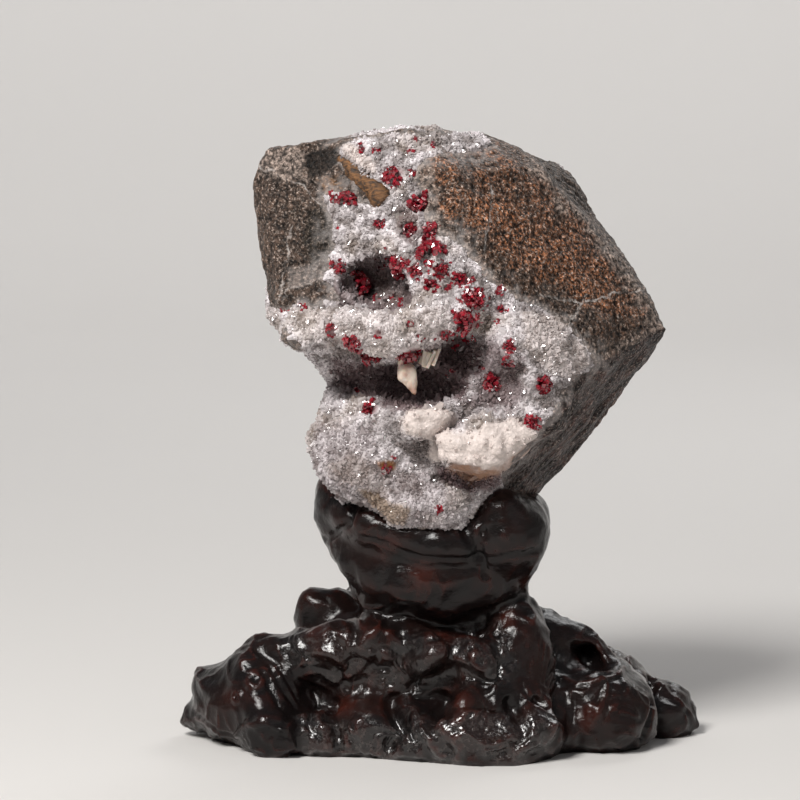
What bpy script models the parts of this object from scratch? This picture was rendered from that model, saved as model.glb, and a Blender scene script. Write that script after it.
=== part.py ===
"""Cinnabar specimen in a carved root-wood stand, about 200 mm tall.

A block of limestone carries a crust of small quartz crystals with hollows in it, red cinnabar
clusters and two calcite crystals. It rests in a seat cut in the cup of the stand.
Metres, +Z up, the front faces -Y, the origin is on the floor under the middle of the object.
Lists of places and sizes below are in millimetres.
"""

import math
import random

import bmesh
import bpy
from mathutils import Euler, Matrix, Vector, noise
from mathutils.bvhtree import BVHTree

MM = 0.001
GAP = 0.3 * MM  # clearance between pieces that touch

# Stone
BLOCK_CORNERS = (
    # left side, front edge, top to bottom
    (-58, -14, 194), (-62, -10, 182), (-58, -12, 167), (-56, -14, 155), (-57, -16, 146), (-52, -26, 142),
    # top edge, left to right
    (-34, -20, 196), (-11, -24, 199.5), (3, -10, 199.5), (11, 0, 199),
    # ridge between the crystal face and the rusty plane, top to bottom
    (2, -34, 189), (-2, -43, 160), (17, -42, 153), (36, -38, 137), (49.5, -28, 124.5),
    # outer edge of the rusty plane
    (32, -9, 187), (50, -5, 166), (62, -3, 150), (74, 0, 134.5),
    # lower edge of the crystal face
    (38, -32, 115), (30, -35, 103.5), (20, -31, 91), (12, -19, 76), (4, -27, 75), (-14, -30, 76),
    (-35, -20, 83), (-41, -25, 94),
    # back
    (-50, 20, 192), (-56, 20, 168), (-50, 28, 140), (5, 24, 196), (29, 16, 190), (40, 22, 186),
    (48, 20, 171), (57, 17, 158.5), (66, 14, 145), (71, 12, 134), (61, 18, 114), (46, 22, 97),
    (31, 14, 77), (5, 20, 71), (-20, 20, 76), (-37, 18, 102), (0, 40, 148), (22, 36, 110),
)
# Raised parts of the stone: centre, radii, turn in degrees
LEDGES = (
    ((-38, -33, 138), (14, 8, 7), (0, -6, 18)),  # white lip over the wide hollow, left
    ((-16, -40, 139), (18, 8, 7.5), (0, -2, 6)),  # its middle
    ((2, -42, 144), (12, 7, 8), (0, -24, -6)),  # its right end, climbing
    ((-25, -27, 98), (16, 11, 16), (0, 0, 0)),  # rounded mass at the lower left
    ((-8, -27, 84), (19, 11, 12), (0, 10, 0)),  # tongue that reaches into the seat
    ((-9, -37, 110), (12, 7, 6), (0, -8, 0)),  # cream lump under the wide hollow
    ((14, -40, 102), (17, 7, 8.5), (0, -16, 10)),  # cream shelf
    ((31, -36, 112), (12, 7, 9), (0, -34, 16)),  # its right end
    ((26, -40, 130), (14, 7, 12), (0, 30, 18)),  # white shoulder beside the rusty plane
    ((40.5, 17, 177.5), (5.5, 9, 12), (0, -33, 0)),  # layered lump behind the rusty plane
)
# Hollows in the stone: centre, radii, turn in degrees
HOLLOWS = (
    ((-22, -46, 152.5), (12.5, 25, 8.5), (0, 6, 0)),  # upper hollow
    ((-13, -46, 120.5), (23, 31, 7.2), (0, 3, 0)),  # wide hollow
    ((-31, -44, 119.5), (14, 27, 7.2), (0, 0, 0)),  # its left end, open to the side
    ((5, -48, 130), (11, 28, 9), (0, -20, 0)),  # its right end, which climbs
    ((17, -53, 121), (12, 17, 10), (0, 0, 0)),  # smoky pocket
    ((6, -44, 88.5), (14, 17, 5), (0, 4, 0)),  # pocket under the cream shelf
)
# Bites out of the block's outline: centre, radii, turn in degrees
BITES = (
    ((-61, 0, 117), (25, 70, 22), (0, 0, 0)),  # waist on the left side
    ((-37, -30, 81), (10, 20, 3.5), (0, 20, 0)),  # notch over the cup's left horn
    ((39, -2, 186), (3, 12, 10), (0, -38, 0)),  # groove before the layered lump
)
# Outline of the quartz crust on the front, as X and Z
CRUST_OUTLINE = (
    (-33, 207), (2, 207), (-1.5, 192), (-4.5, 181), (-2, 170), (2, 166), (16, 152.5), (30, 143.5),
    (44.5, 132.5), (49.5, 125.5), (43, 121), (38, 116), (34, 108), (28, 102), (20, 93), (17, 84),
    (16, 60), (-46, 60), (-54, 92), (-48, 116), (-66, 138), (-66, 148), (-51, 148.5), (-38, 149),
    (-38, 155), (-36, 160), (-35.5, 173), (-38, 180), (-33, 190),
)
CRUST_THICKNESS = 5.5
CRUST_BACK = -2  # the plane that the crust ends at behind, as Y
CRUST_FRONT = -80
STONE_GRAIN = 1.6  # voxel that the stone's solids are fused at
STONE_TRIANGLES = 2300
STONE_ROUGHNESS = ((26, 1.3), (9, 0.9), (4, 0.45))  # size and height of its bumps

# Cinnabar clusters on the front: X, Z and radius
CINNABAR = (
    (-16.2, 184.6, 2.7), (-30.6, 178.0, 2.7), (-25.9, 193.8, 1.9), (-20.6, 170.8, 1.9), (-8.4, 177.1, 2.9),
    (-11.2, 169.6, 2.2), (-4.0, 169.8, 1.9), (-5.0, 163.2, 3.0), (-33.5, 157.3, 2.2), (-15.0, 157.3, 3.4),
    (-26.3, 151.4, 2.9), (-9.0, 155.6, 2.3), (-4.6, 151.4, 2.3), (-0.6, 157.0, 2.5), (5.2, 153.4, 2.2),
    (9.2, 147.9, 2.4), (18.0, 143.5, 1.9), (6.0, 141.3, 2.9), (-0.3, 137.2, 2.4), (-34.5, 137.5, 1.9),
    (-28.2, 134.4, 2.6), (-20.3, 137.5, 1.8), (-11.9, 131.5, 3.1), (-23.8, 129.0, 2.4), (-24.1, 111.6, 2.9),
    (14.6, 121.1, 2.6), (30.6, 121.1, 3.1), (19.9, 133.6, 1.9), (20.2, 128.7, 1.8), (28.5, 108.4, 2.5),
)
CRYSTAL_STRETCH = 1.3  # length of a rhombohedron along its axis, against a cube
TWIN_FROM = 2.6  # a cluster of this radius or more is two crystals grown through each other
CRYSTAL_SINK = 0.15  # share of the radius that a cluster's middle lies under the surface

# Calcite crystals in the wide hollow: foot in the roof, tip, and radius or half sizes
TOOTH_FOOT = (-15.2, -37, 128)
TOOTH_TIP = (-10.4, -38.5, 115.2)
TOOTH_RADIUS = 3.1
RHOMB_CENTRE = (-5.0, -33, 129)
RHOMB_HALF = (2.6, 2.2, 3.4)
RHOMB_TURN = (12, -18, 24)

# Stand: lumps of the root, as centre, radii and turn in degrees
LUMPS = (
    # cup
    ((-2, 0, 66), (36, 29, 19), (0, 0, 0)),
    ((-36.5, -4, 78), (6.5, 12, 12), (0, 8, 0)),  # left horn
    ((21, -21, 70), (14, 14, 14), (0, 0, 0)),  # round lobe at the right
    ((18, -27, 79.5), (7.5, 7, 6.5), (0, 12, 0)),  # its knob
    ((27.5, 4, 71), (8.5, 17, 10), (0, 0, 0)),  # right side
    ((-6, 23, 74), (30, 9, 10), (0, 0, 0)),  # back rim
    # neck
    ((2, 2, 45), (27, 22, 22), (0, 0, 0)),
    ((-14, -12, 50), (14, 12, 14), (0, 30, 0)),
    # middle of the base
    ((0, 2, 15), (54, 34, 26), (0, 0, 0)),
    ((24, 4, 26), (24, 22, 15), (0, 26, 0)),
    ((-26, 4, 26), (24, 24, 16), (0, -20, 0)),
    # left side
    ((-59, -8, 14), (17, 24, 18), (0, 0, 0)),
    ((-70, -4, 12), (13, 20, 13), (0, -44, 0)),
    ((-43, 8, 38), (7, 8, 11), (0, 0, 0)),  # cut-off branch
    ((-35, 8, 39), (8, 8, 9.5), (0, 0, 0)),
    # right side
    ((51, -17, 11), (18, 18, 14.5), (0, 10, 0)),
    ((54, 10, 12), (18, 20, 14), (0, 20, 0)),
    ((71, 4, 6), (12, 12, 9), (0, 20, 0)),
    # back
    ((-34, 28, 14), (26, 18, 15), (0, 0, 0)),
    ((8, 34, 16), (24, 15, 18), (0, 0, 0)),
    ((42, 28, 10), (22, 16, 12), (0, 0, 0)),
    # knobs on the front
    ((-4.5, -31, 34), (6, 8, 6), (0, 0, 0)),
    ((10.8, -32, 31.5), (7, 8, 7), (0, 0, 0)),
    ((6.8, -35, 17), (5, 8, 8), (0, 0, 0)),
    ((17.6, -34, 20.5), (7, 9, 6), (0, 0, 0)),
)
# Roots of the stand: each a list of points with the root's radius there
ROOTS = (
    # front lip of the cup
    ((-37, -8, 79, 5), (-30, -20, 75, 6.5), (-17, -27, 71, 7), (-2, -29, 68, 7), (12, -27, 69, 7),
     (20, -20, 74, 7)),
    # belly of the cup, from the left horn down to the neck
    ((-35, -5, 70, 6), (-27, -17, 61, 9), (-10, -22, 55, 10), (10, -22, 54, 10), (23, -14, 58, 10)),
    # ridge over the front hollow
    ((-62, -10, 24, 8), (-49, -17, 29, 8), (-37, -19, 32, 10), (-25, -24, 35, 7.5), (-12, -23, 31, 9.5),
     (4, -27, 29, 8)),
    # rim along the floor at the front
    ((-62, -22, 6, 8), (-45, -30, 5, 7.5), (-25, -27, 6, 10), (-10, -34, 5, 8), (4, -38, 7, 11),
     (14, -45, 4, 8), (24, -40, 6, 10), (34, -26, 7, 8), (48, -18, 8, 10)),
    # grooved root at the right of the middle
    ((22, -13, 46, 9), (24, -20, 35, 10.5), (25, -24, 22, 11.5), (28, -27, 10, 11)),
    # root that runs down to the right and closes the small cave
    ((24, 0, 40, 8), (38, -2, 33, 7), (48, -4, 28, 6.5), (56, -8, 22, 6.5), (60, -14, 16, 7),
     (52, -22, 13, 8)),
    # toes
    ((60, 4, 10, 9), (72, 4, 9, 8), (79, 3, 6, 6.5), (83, 3, 1, 4)),
    ((-66, 2, 12, 10), (-78, -2, 9, 7), (-85, -3, 5, 3.5)),
    # stub with a cut end at the lower left
    ((-50, -20, 8, 9), (-56, -38, 7, 9)),
    # behind
    ((-20, 16, 44, 9), (-30, 28, 30, 9), (-40, 36, 12, 9)),
    ((12, 18, 46, 9), (20, 32, 30, 9), (26, 40, 12, 9)),
)
# Hollows in the stand: centre, radii, turn in degrees
CAVES = (
    ((-22, -37, 20), (24, 10, 6), (0, 4, 0)),  # long hollow behind the rim
    ((48, -17, 28.5), (6.5, 13, 4.5), (0, 14, 0)),  # small cave at the right
    ((-54, 26, 34), (14, 12, 12), (0, 0, 0)),  # dip behind the left side
)
STAND_GRAIN = 1.6
STAND_TRIANGLES = 2680
STAND_ROUGHNESS = ((22, 1.1), (8, 0.6))
FLOOR_CUT = 30  # depth of the block that trims the base flat


def clear_scene():
    for obj in list(bpy.data.objects):
        bpy.data.objects.remove(obj)


def group(name, shown=True):
    """A collection for finished pieces, or for the shapes that only cut them."""
    collection = bpy.data.collections.new(name)
    collection.hide_render = not shown
    bpy.context.scene.collection.children.link(collection)
    return collection


def finish_of(name, colour, roughness):
    material = bpy.data.materials.new(name)
    material.use_nodes = True
    shader = material.node_tree.nodes["Principled BSDF"]
    shader.inputs["Base Color"].default_value = (*colour, 1)
    shader.inputs["Roughness"].default_value = roughness
    material.diffuse_color = (*colour, 1)
    return material


def as_object(name, bm):
    mesh = bpy.data.meshes.new(name)
    bmesh.ops.recalc_face_normals(bm, faces=bm.faces)
    bm.to_mesh(mesh)
    bm.free()
    obj = bpy.data.objects.new(name, mesh)
    bpy.context.scene.collection.objects.link(obj)
    return obj


def baked(obj):
    """Makes what the modifiers give the object's own mesh."""
    graph = bpy.context.evaluated_depsgraph_get()
    mesh = bpy.data.meshes.new_from_object(obj.evaluated_get(graph))
    obj.modifiers.clear()
    obj.data = mesh
    return obj


def joined(name, objects):
    """One object that holds the meshes of several, which it takes the place of."""
    bm = bmesh.new()
    for obj in objects:
        part = obj.data.copy()
        part.transform(obj.matrix_world)
        bm.from_mesh(part)
        bpy.data.objects.remove(obj)
    return as_object(name, bm)


def hull(name, corners):
    bm = bmesh.new()
    for corner in corners:
        bm.verts.new(Vector(corner) * MM)
    bmesh.ops.convex_hull(bm, input=bm.verts)
    loose = [v for v in bm.verts if not v.link_faces]
    bmesh.ops.delete(bm, geom=loose, context="VERTS")
    return as_object(name, bm)


def lump(name, centre, radii, turn, grow=0.0, rounds=3):
    """An ellipsoid, finer with each round."""
    size = Matrix.Diagonal((*[(r + grow) * MM for r in radii], 1))
    spin = Euler([math.radians(a) for a in turn]).to_matrix().to_4x4()
    bm = bmesh.new()
    bmesh.ops.create_icosphere(
        bm, subdivisions=rounds, radius=1, matrix=Matrix.Translation(Vector(centre) * MM) @ spin @ size
    )
    return as_object(name, bm)


def root(name, points):
    """A round root through the points, whose fourth value is its radius there."""
    curve = bpy.data.curves.new(name, "CURVE")
    curve.dimensions = "3D"
    curve.bevel_depth = MM
    curve.bevel_resolution = 3
    curve.use_fill_caps = True
    curve.resolution_u = 4
    spline = curve.splines.new("NURBS")
    spline.points.add(len(points) - 1)
    spline.order_u = 3
    spline.use_endpoint_u = True
    for target, (x, y, z, radius) in zip(spline.points, points):
        target.co = (x * MM, y * MM, z * MM, 1)
        target.radius = radius
    guide = bpy.data.objects.new(name, curve)
    bpy.context.scene.collection.objects.link(guide)
    graph = bpy.context.evaluated_depsgraph_get()
    bm = bmesh.new()
    bm.from_mesh(bpy.data.meshes.new_from_object(guide.evaluated_get(graph)))
    bmesh.ops.remove_doubles(bm, verts=bm.verts, dist=0.01 * MM)
    bpy.data.objects.remove(guide)
    return as_object(name, bm)


def fused(obj, grain):
    """Closes overlapping shapes into one skin, made of squares of this size."""
    skin = obj.modifiers.new("fuse", "REMESH")
    skin.mode = "VOXEL"
    skin.voxel_size = grain * MM
    return baked(obj)


def softened(obj, turns):
    smooth = obj.modifiers.new("soften", "SMOOTH")
    smooth.factor = 0.5
    smooth.iterations = turns
    return baked(obj)


def carved(obj, operation, other):
    """Cuts obj by other, joins it, or keeps what they share."""
    change = obj.modifiers.new("carve", "BOOLEAN")
    change.operation = operation
    change.object = other
    change.solver = "EXACT"
    return baked(obj)


def roughened(obj, layers):
    """Moves each point in or out by smooth noise, one layer for each size of bump."""
    mesh = obj.data
    moves = []
    for vertex in mesh.vertices:
        height = sum(noise.noise(vertex.co / (size * MM)) * amount for size, amount in layers)
        moves.append(vertex.normal * height * MM)
    for vertex, move in zip(mesh.vertices, moves):
        vertex.co += move
    return obj


def slimmed(obj, triangles):
    obj.data.calc_loop_triangles()
    slim = obj.modifiers.new("slim", "DECIMATE")
    slim.ratio = triangles / len(obj.data.loop_triangles)
    return baked(obj)


def grown(obj, distance, name):
    """A copy with its skin moved out by a distance."""
    copy = bpy.data.objects.new(name, obj.data.copy())
    bpy.context.scene.collection.objects.link(copy)
    swell = copy.modifiers.new("swell", "DISPLACE")
    swell.strength = distance
    swell.mid_level = 0
    return baked(copy)


def placed(obj, name, collection, material):
    """Gives a finished piece its name, collection and material."""
    obj.name = name
    obj.data.name = name
    bpy.context.scene.collection.objects.unlink(obj)
    collection.objects.link(obj)
    obj.data.materials.clear()
    obj.data.materials.append(material)
    return obj


def make_stone():
    """The whole stone, crust and all, before it is parted."""
    shapes = [hull("block", BLOCK_CORNERS)]
    shapes += [lump("ledge", *form) for form in LEDGES]
    stone = fused(joined("stone", shapes), STONE_GRAIN)
    softened(stone, 2)
    for form in HOLLOWS + BITES:
        cutter = lump("hollow", *form)
        carved(stone, "DIFFERENCE", cutter)
        bpy.data.objects.remove(cutter)
    fused(stone, STONE_GRAIN)
    softened(stone, 1)
    roughened(stone, STONE_ROUGHNESS)
    return slimmed(stone, STONE_TRIANGLES)


def widened(outline, distance):
    """A clockwise outline, moved outwards all round."""
    corners = [Vector(place) for place in outline]
    moved = []
    for before, here, after in zip(corners[-1:] + corners[:-1], corners, corners[1:] + corners[:1]):
        ways = ((here - before).normalized(), (after - here).normalized())
        normals = [Vector((-way.y, way.x)) for way in ways]
        mitre = (normals[0] + normals[1]).normalized()
        moved.append(here + mitre * distance / max(mitre.dot(normals[0]), 0.5))
    return moved


def make_crust_mould(grow):
    """The space that the crust fills: the outline on the front, less a core inside the block."""
    outline = bpy.data.curves.new("crust outline", "CURVE")
    outline.dimensions = "2D"
    outline.fill_mode = "BOTH"
    outline.extrude = (CRUST_BACK - CRUST_FRONT) / 2 * MM
    spline = outline.splines.new("POLY")
    spline.points.add(len(CRUST_OUTLINE) - 1)
    spline.use_cyclic_u = True
    for target, (x, z) in zip(spline.points, widened(CRUST_OUTLINE, grow)):
        target.co = (x * MM, z * MM, 0, 1)
    guide = bpy.data.objects.new("crust outline", outline)
    guide.rotation_euler = (math.pi / 2, 0, 0)
    guide.location.y = (CRUST_FRONT + CRUST_BACK) / 2 * MM + grow * MM
    bpy.context.scene.collection.objects.link(guide)
    bpy.context.view_layer.update()
    graph = bpy.context.evaluated_depsgraph_get()
    bm = bmesh.new()
    bm.from_mesh(bpy.data.meshes.new_from_object(guide.evaluated_get(graph)))
    bmesh.ops.transform(bm, matrix=guide.matrix_world, verts=bm.verts)
    bmesh.ops.remove_doubles(bm, verts=bm.verts, dist=0.01 * MM)
    bpy.data.objects.remove(guide)
    mould = as_object("crust mould", bm)

    inset = CRUST_THICKNESS + grow
    centre = Vector((0, 0, 138))
    core = hull(
        "core",
        [Vector(c) + (centre - Vector(c)).normalized() * inset for c in BLOCK_CORNERS],
    )
    for form in HOLLOWS + BITES[:1]:
        cutter = lump("lined hollow", *form, grow=inset, rounds=2)
        carved(core, "DIFFERENCE", cutter)
        bpy.data.objects.remove(cutter)
    carved(mould, "DIFFERENCE", core)
    bpy.data.objects.remove(core)
    return mould


def part_stone(stone):
    """Parts the stone into the host rock and the crust, a gap apart."""
    crust = grown(stone, 0, "crust")
    mould = make_crust_mould(0)
    carved(crust, "INTERSECT", mould)
    bpy.data.objects.remove(mould)
    rock = grown(stone, 0, "rock")
    mould = make_crust_mould(GAP / MM)
    carved(rock, "DIFFERENCE", mould)
    bpy.data.objects.remove(mould)
    return rock, crust


def rhombohedron(name, radius, spin):
    """A cinnabar crystal: a cube drawn out along its body diagonal."""
    stand_up = Vector((1, 1, 1)).rotation_difference(Vector((0, 0, 1))).to_matrix().to_4x4()
    stretch = Matrix.Diagonal((1, 1, CRYSTAL_STRETCH, 1))
    bm = bmesh.new()
    bmesh.ops.create_cube(
        bm, size=2 * radius / math.sqrt(3), matrix=spin @ stretch @ stand_up
    )
    return as_object(name, bm)


def cinnabar_cluster(name, radius, dice):
    """One crystal, or two grown through each other."""
    turns = [Euler([dice.uniform(0, math.tau) for _ in range(3)]).to_matrix().to_4x4() for _ in range(2)]
    cluster = rhombohedron(name, radius * MM, turns[0])
    if radius >= TWIN_FROM:
        twin = rhombohedron("twin", 0.92 * radius * MM, turns[1])
        carved(cluster, "UNION", twin)
        bpy.data.objects.remove(twin)
    return cluster


def skin_of(obj):
    return BVHTree.FromObject(obj, bpy.context.evaluated_depsgraph_get())


def set_in(socket, hosts):
    """Cuts a crystal's socket in each host that it reaches."""
    for host in hosts:
        if skin_of(socket).overlap(skin_of(host)):
            carved(host, "DIFFERENCE", socket)
    bpy.data.objects.remove(socket)


def socket_of(cluster, radius):
    """The convex shape round a cluster, a gap wider all round."""
    share = 1 + GAP / (0.5 * radius * MM)
    socket = hull("socket", [v.co * share / MM for v in cluster.data.vertices])
    socket.data.transform(Matrix.Translation(cluster.location))
    return socket


def grow_cinnabar(stone, hosts, collection, material):
    """Sets each cluster where a line from the front meets the stone."""
    dice = random.Random(11)
    skin = skin_of(stone)
    for number, (x, z, radius) in enumerate(CINNABAR, 1):
        cluster = cinnabar_cluster("cluster", radius, dice)
        spot, normal, _, _ = skin.ray_cast(Vector((x, -200, z)) * MM, Vector((0, 1, 0)))
        cluster.location = spot - normal * CRYSTAL_SINK * radius * MM
        set_in(socket_of(cluster, radius), hosts)
        cluster.data.transform(Matrix.Translation(cluster.location))
        cluster.location = (0, 0, 0)
        placed(cluster, f"cinnabar_{number:02d}", collection, material)


def make_tooth():
    """A calcite crystal drawn out to a point at both ends."""
    foot, tip = Vector(TOOTH_FOOT), Vector(TOOTH_TIP)
    along = tip - foot
    aim = Vector((0, 0, 1)).rotation_difference(along.normalized())
    girdle = []
    for side in range(6):
        angle = side * math.pi / 3
        height = 0.42 + (0.06 if side % 2 else -0.06)
        ring = Vector((math.cos(angle), math.sin(angle), 0)) * TOOTH_RADIUS
        girdle.append(foot + aim @ ring + along * height)
    return hull("tooth", [foot, tip, *girdle])


def make_rhomb():
    spin = Euler([math.radians(a) for a in RHOMB_TURN]).to_matrix().to_4x4()
    size = Matrix.Diagonal((*[2 * h * MM for h in RHOMB_HALF], 1))
    bm = bmesh.new()
    bmesh.ops.create_cube(bm, size=1, matrix=Matrix.Translation(Vector(RHOMB_CENTRE) * MM) @ spin @ size)
    return as_object("rhomb", bm)


def make_stand(stone):
    shapes = [lump("lump", *form) for form in LUMPS]
    shapes += [root("root", points) for points in ROOTS]
    stand = fused(joined("stand", shapes), STAND_GRAIN)
    softened(stand, 5)
    for form in CAVES:
        cutter = lump("cave", *form)
        carved(stand, "DIFFERENCE", cutter)
        bpy.data.objects.remove(cutter)
    fused(stand, STAND_GRAIN)
    softened(stand, 2)
    roughened(stand, STAND_ROUGHNESS)
    slimmed(stand, STAND_TRIANGLES)

    seat = grown(stone, GAP, "seat")
    carved(stand, "DIFFERENCE", seat)
    bpy.data.objects.remove(seat)

    bm = bmesh.new()
    bmesh.ops.create_cube(bm, size=1, matrix=Matrix.Diagonal((0.4, 0.4, FLOOR_CUT * MM, 1)))
    bmesh.ops.translate(bm, verts=bm.verts, vec=(0, 0, -FLOOR_CUT / 2 * MM))
    floor = as_object("floor", bm)
    carved(stand, "DIFFERENCE", floor)
    bpy.data.objects.remove(floor)
    return stand


def centre_on_origin(pieces):
    """Moves the pieces so that the middle of their box is over the origin."""
    spots = [v.co for piece in pieces for v in piece.data.vertices]
    middle = Vector([-(min(s[i] for s in spots) + max(s[i] for s in spots)) / 2 for i in (0, 1)] + [0])
    for piece in pieces:
        piece.data.transform(Matrix.Translation(middle))


def main():
    clear_scene()
    specimen = group("cinnabar specimen")
    stone = make_stone()
    stand = make_stand(stone)
    rock, crust = part_stone(stone)

    limestone = finish_of("limestone", (0.24, 0.20, 0.16), 0.85)
    quartz = finish_of("quartz", (0.72, 0.70, 0.71), 0.35)
    calcite = finish_of("calcite", (0.78, 0.68, 0.58), 0.4)
    cinnabar = finish_of("cinnabar", (0.38, 0.02, 0.04), 0.22)
    lacquer = finish_of("lacquered_wood", (0.022, 0.013, 0.011), 0.3)

    for name, crystal in (("calcite_tooth", make_tooth()), ("calcite_rhomb", make_rhomb())):
        set_in(grown(crystal, GAP, "socket"), (crust, rock))
        placed(crystal, name, specimen, calcite)
    grow_cinnabar(stone, (crust, rock), specimen, cinnabar)
    bpy.data.objects.remove(stone)
    placed(rock, "host_rock", specimen, limestone)
    placed(crust, "quartz_crust", specimen, quartz)
    placed(stand, "wood_stand", specimen, lacquer)
    centre_on_origin(specimen.objects)


main()
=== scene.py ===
import math
import time

import bmesh
import bpy
import numpy as np
from mathutils import Euler, Matrix, Vector
from mathutils.bvhtree import BVHTree


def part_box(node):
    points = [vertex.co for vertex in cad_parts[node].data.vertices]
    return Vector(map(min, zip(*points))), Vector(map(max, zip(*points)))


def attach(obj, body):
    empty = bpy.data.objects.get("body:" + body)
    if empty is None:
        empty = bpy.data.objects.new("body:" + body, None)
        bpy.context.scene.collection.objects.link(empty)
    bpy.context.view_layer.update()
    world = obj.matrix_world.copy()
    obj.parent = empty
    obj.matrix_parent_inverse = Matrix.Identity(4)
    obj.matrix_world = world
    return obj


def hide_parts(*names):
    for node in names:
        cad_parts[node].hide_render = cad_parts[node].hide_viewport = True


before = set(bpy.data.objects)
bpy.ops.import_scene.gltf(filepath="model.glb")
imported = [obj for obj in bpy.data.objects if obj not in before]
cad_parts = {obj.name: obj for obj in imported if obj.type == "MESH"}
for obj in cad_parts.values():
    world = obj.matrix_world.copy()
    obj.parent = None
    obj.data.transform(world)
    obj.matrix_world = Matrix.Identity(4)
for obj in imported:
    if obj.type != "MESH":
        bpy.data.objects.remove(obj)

started = time.time()
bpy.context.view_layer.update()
scene = bpy.context.scene
mm = 0.001
rayLift = 0.0006  # metres that a ray starts above its own surface


def report(stage):
    print(f"[{time.time() - started:5.1f} s] {stage}")


# The front camera, and where points fall on an 800 by 800 drawing of its view.

viewpoint = {"target": (-0.01349, 0.00113, 0.1112), "distance": 1.1, "lookDown": 6.0,
             "lens": 151.515, "sensor": 36.0, "drawing": 800}

tilt = math.radians(viewpoint["lookDown"])
rightward = np.array((1.0, 0.0, 0.0))
forward = np.array((0.0, math.cos(tilt), -math.sin(tilt)))
upward = np.array((0.0, math.sin(tilt), math.cos(tilt)))
eye = np.array(viewpoint["target"]) - forward * viewpoint["distance"]
focal = viewpoint["lens"] / viewpoint["sensor"] * viewpoint["drawing"]
middle = viewpoint["drawing"] / 2
unit = viewpoint["distance"] / focal  # metres for one unit of the drawing


def drawnAt(points):
    offset = points - eye
    depth = offset @ forward
    return np.column_stack((middle + focal * (offset @ rightward) / depth,
                            middle - focal * (offset @ upward) / depth))


def touched(tree, spot):  # the first place that the line of sight through a spot of the drawing meets
    sight = forward * focal + rightward * (spot[0] - middle) - upward * (spot[1] - middle)
    place, normal, _, _ = tree.ray_cast(Vector(eye), Vector(sight).normalized())
    return (None, None) if place is None else (np.array(place), np.array(normal))


def frontness(points, normals):  # 1 where a surface faces the eye, -1 where it faces away
    return np.einsum("ij,ij->i", eye - points, normals) / np.linalg.norm(eye - points, axis=1)


# Noise, outlines and strokes on arrays of points.

def cellHash(at, seed):  # a fixed random number for each whole-numbered cell of space
    key = at[:, 0] * 73856093 ^ at[:, 1] * 19349663 ^ at[:, 2] * 83492791 ^ seed * 2654435
    key = (key ^ key >> 13) * 1274126177 & 0xffffffff
    return (key ^ key >> 15) * 668265263 & 0xffffffff


def latticeNoise(points, size, seed):  # smooth random values from -1 to 1; the size is in mm
    cell = points / (size * mm) + seed * 7.31
    base = np.floor(cell).astype(np.int64)
    part = cell - base
    part = part * part * (3 - 2 * part)
    total = np.zeros(len(points))
    for corner in range(8):
        step = np.array((corner & 1, corner >> 1 & 1, corner >> 2 & 1))
        value = (cellHash(base + step, seed) >> 8 & 0xffff) / 32767.5 - 1
        total += value * np.prod(np.where(step, part, 1 - part), axis=1)
    return total


def clumps(points, size, seed):  # rounded clumps, size in mm: 1 at their tops, 0 in the creases
    size *= mm
    cell = np.floor(points / size).astype(np.int64)
    nearest = np.full(len(points), 9.0)
    for step in np.ndindex(3, 3, 3):
        at = cell + np.array(step) - 1
        key = cellHash(at, seed)
        centre = at + np.column_stack([(key >> shift & 0x3ff) / 1023 for shift in (0, 10, 20)])
        nearest = np.minimum(nearest, ((points / size - centre) ** 2).sum(axis=1))
    return np.clip(1 - nearest / 0.8, 0, 1)


def cavityShare(points, normals, tree, reach, chosen):  # how much of the view outwards is blocked nearby
    slope, around = 0.85, 5
    leans = [(0.0, 0.0)] + [(slope * math.cos(turn), slope * math.sin(turn))
                            for turn in np.arange(around) * math.tau / around]
    share = np.zeros(len(points))
    for k in chosen:
        out = Vector(normals[k])
        across = out.orthogonal().normalized()
        beside = out.cross(across)
        start = Vector(points[k]) + out * rayLift
        share[k] = sum(tree.ray_cast(start, out + across * u + beside * v, reach)[0] is not None
                       for u, v in leans) / len(leans)
    return share


def segmentGap(spots, start, end):  # distance of each spot from a segment, and the segment's own step
    (ax, ay), (bx, by) = start, end
    dx, dy = bx - ax, by - ay
    across, down = spots[:, 0] - ax, spots[:, 1] - ay
    share = np.clip((across * dx + down * dy) / (dx * dx + dy * dy), 0, 1)
    return np.hypot(across - share * dx, down - share * dy), (dx, dy)


def insideBy(spots, outline):  # how far inside a closed outline each spot is, negative outside
    inside = np.zeros(len(spots), bool)
    nearest = np.full(len(spots), 1e9)
    for start, end in zip(outline, outline[1:] + outline[:1]):
        gap, (dx, dy) = segmentGap(spots, start, end)
        nearest = np.minimum(nearest, gap)
        if dy:
            inside ^= ((start[1] > spots[:, 1]) != (end[1] > spots[:, 1])) & (
                spots[:, 0] < dx * (spots[:, 1] - start[1]) / dy + start[0])
    return np.where(inside, nearest, -nearest)


def smoothStep(values, low, high):
    share = np.clip((values - low) / (high - low), 0, 1)
    return share * share * (3 - 2 * share)


def strokeShare(points, path, reach):  # 1 on a path through space, fading to 0 at its reach
    share = np.zeros(len(points))
    for start, end in zip(path[:-1], path[1:]):
        low, high = np.minimum(start, end) - reach, np.maximum(start, end) + reach
        near = np.flatnonzero(np.all((points > low) & (points < high), axis=1))
        span = end - start
        along = np.clip((points[near] - start) @ span / max(span @ span, 1e-12), 0, 1)
        gap = np.linalg.norm(points[near] - start - along[:, None] * span, axis=1)
        share[near] = np.maximum(share[near], np.clip(1 - (gap / reach) ** 2, 0, 1) ** 2)
    return share


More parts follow.
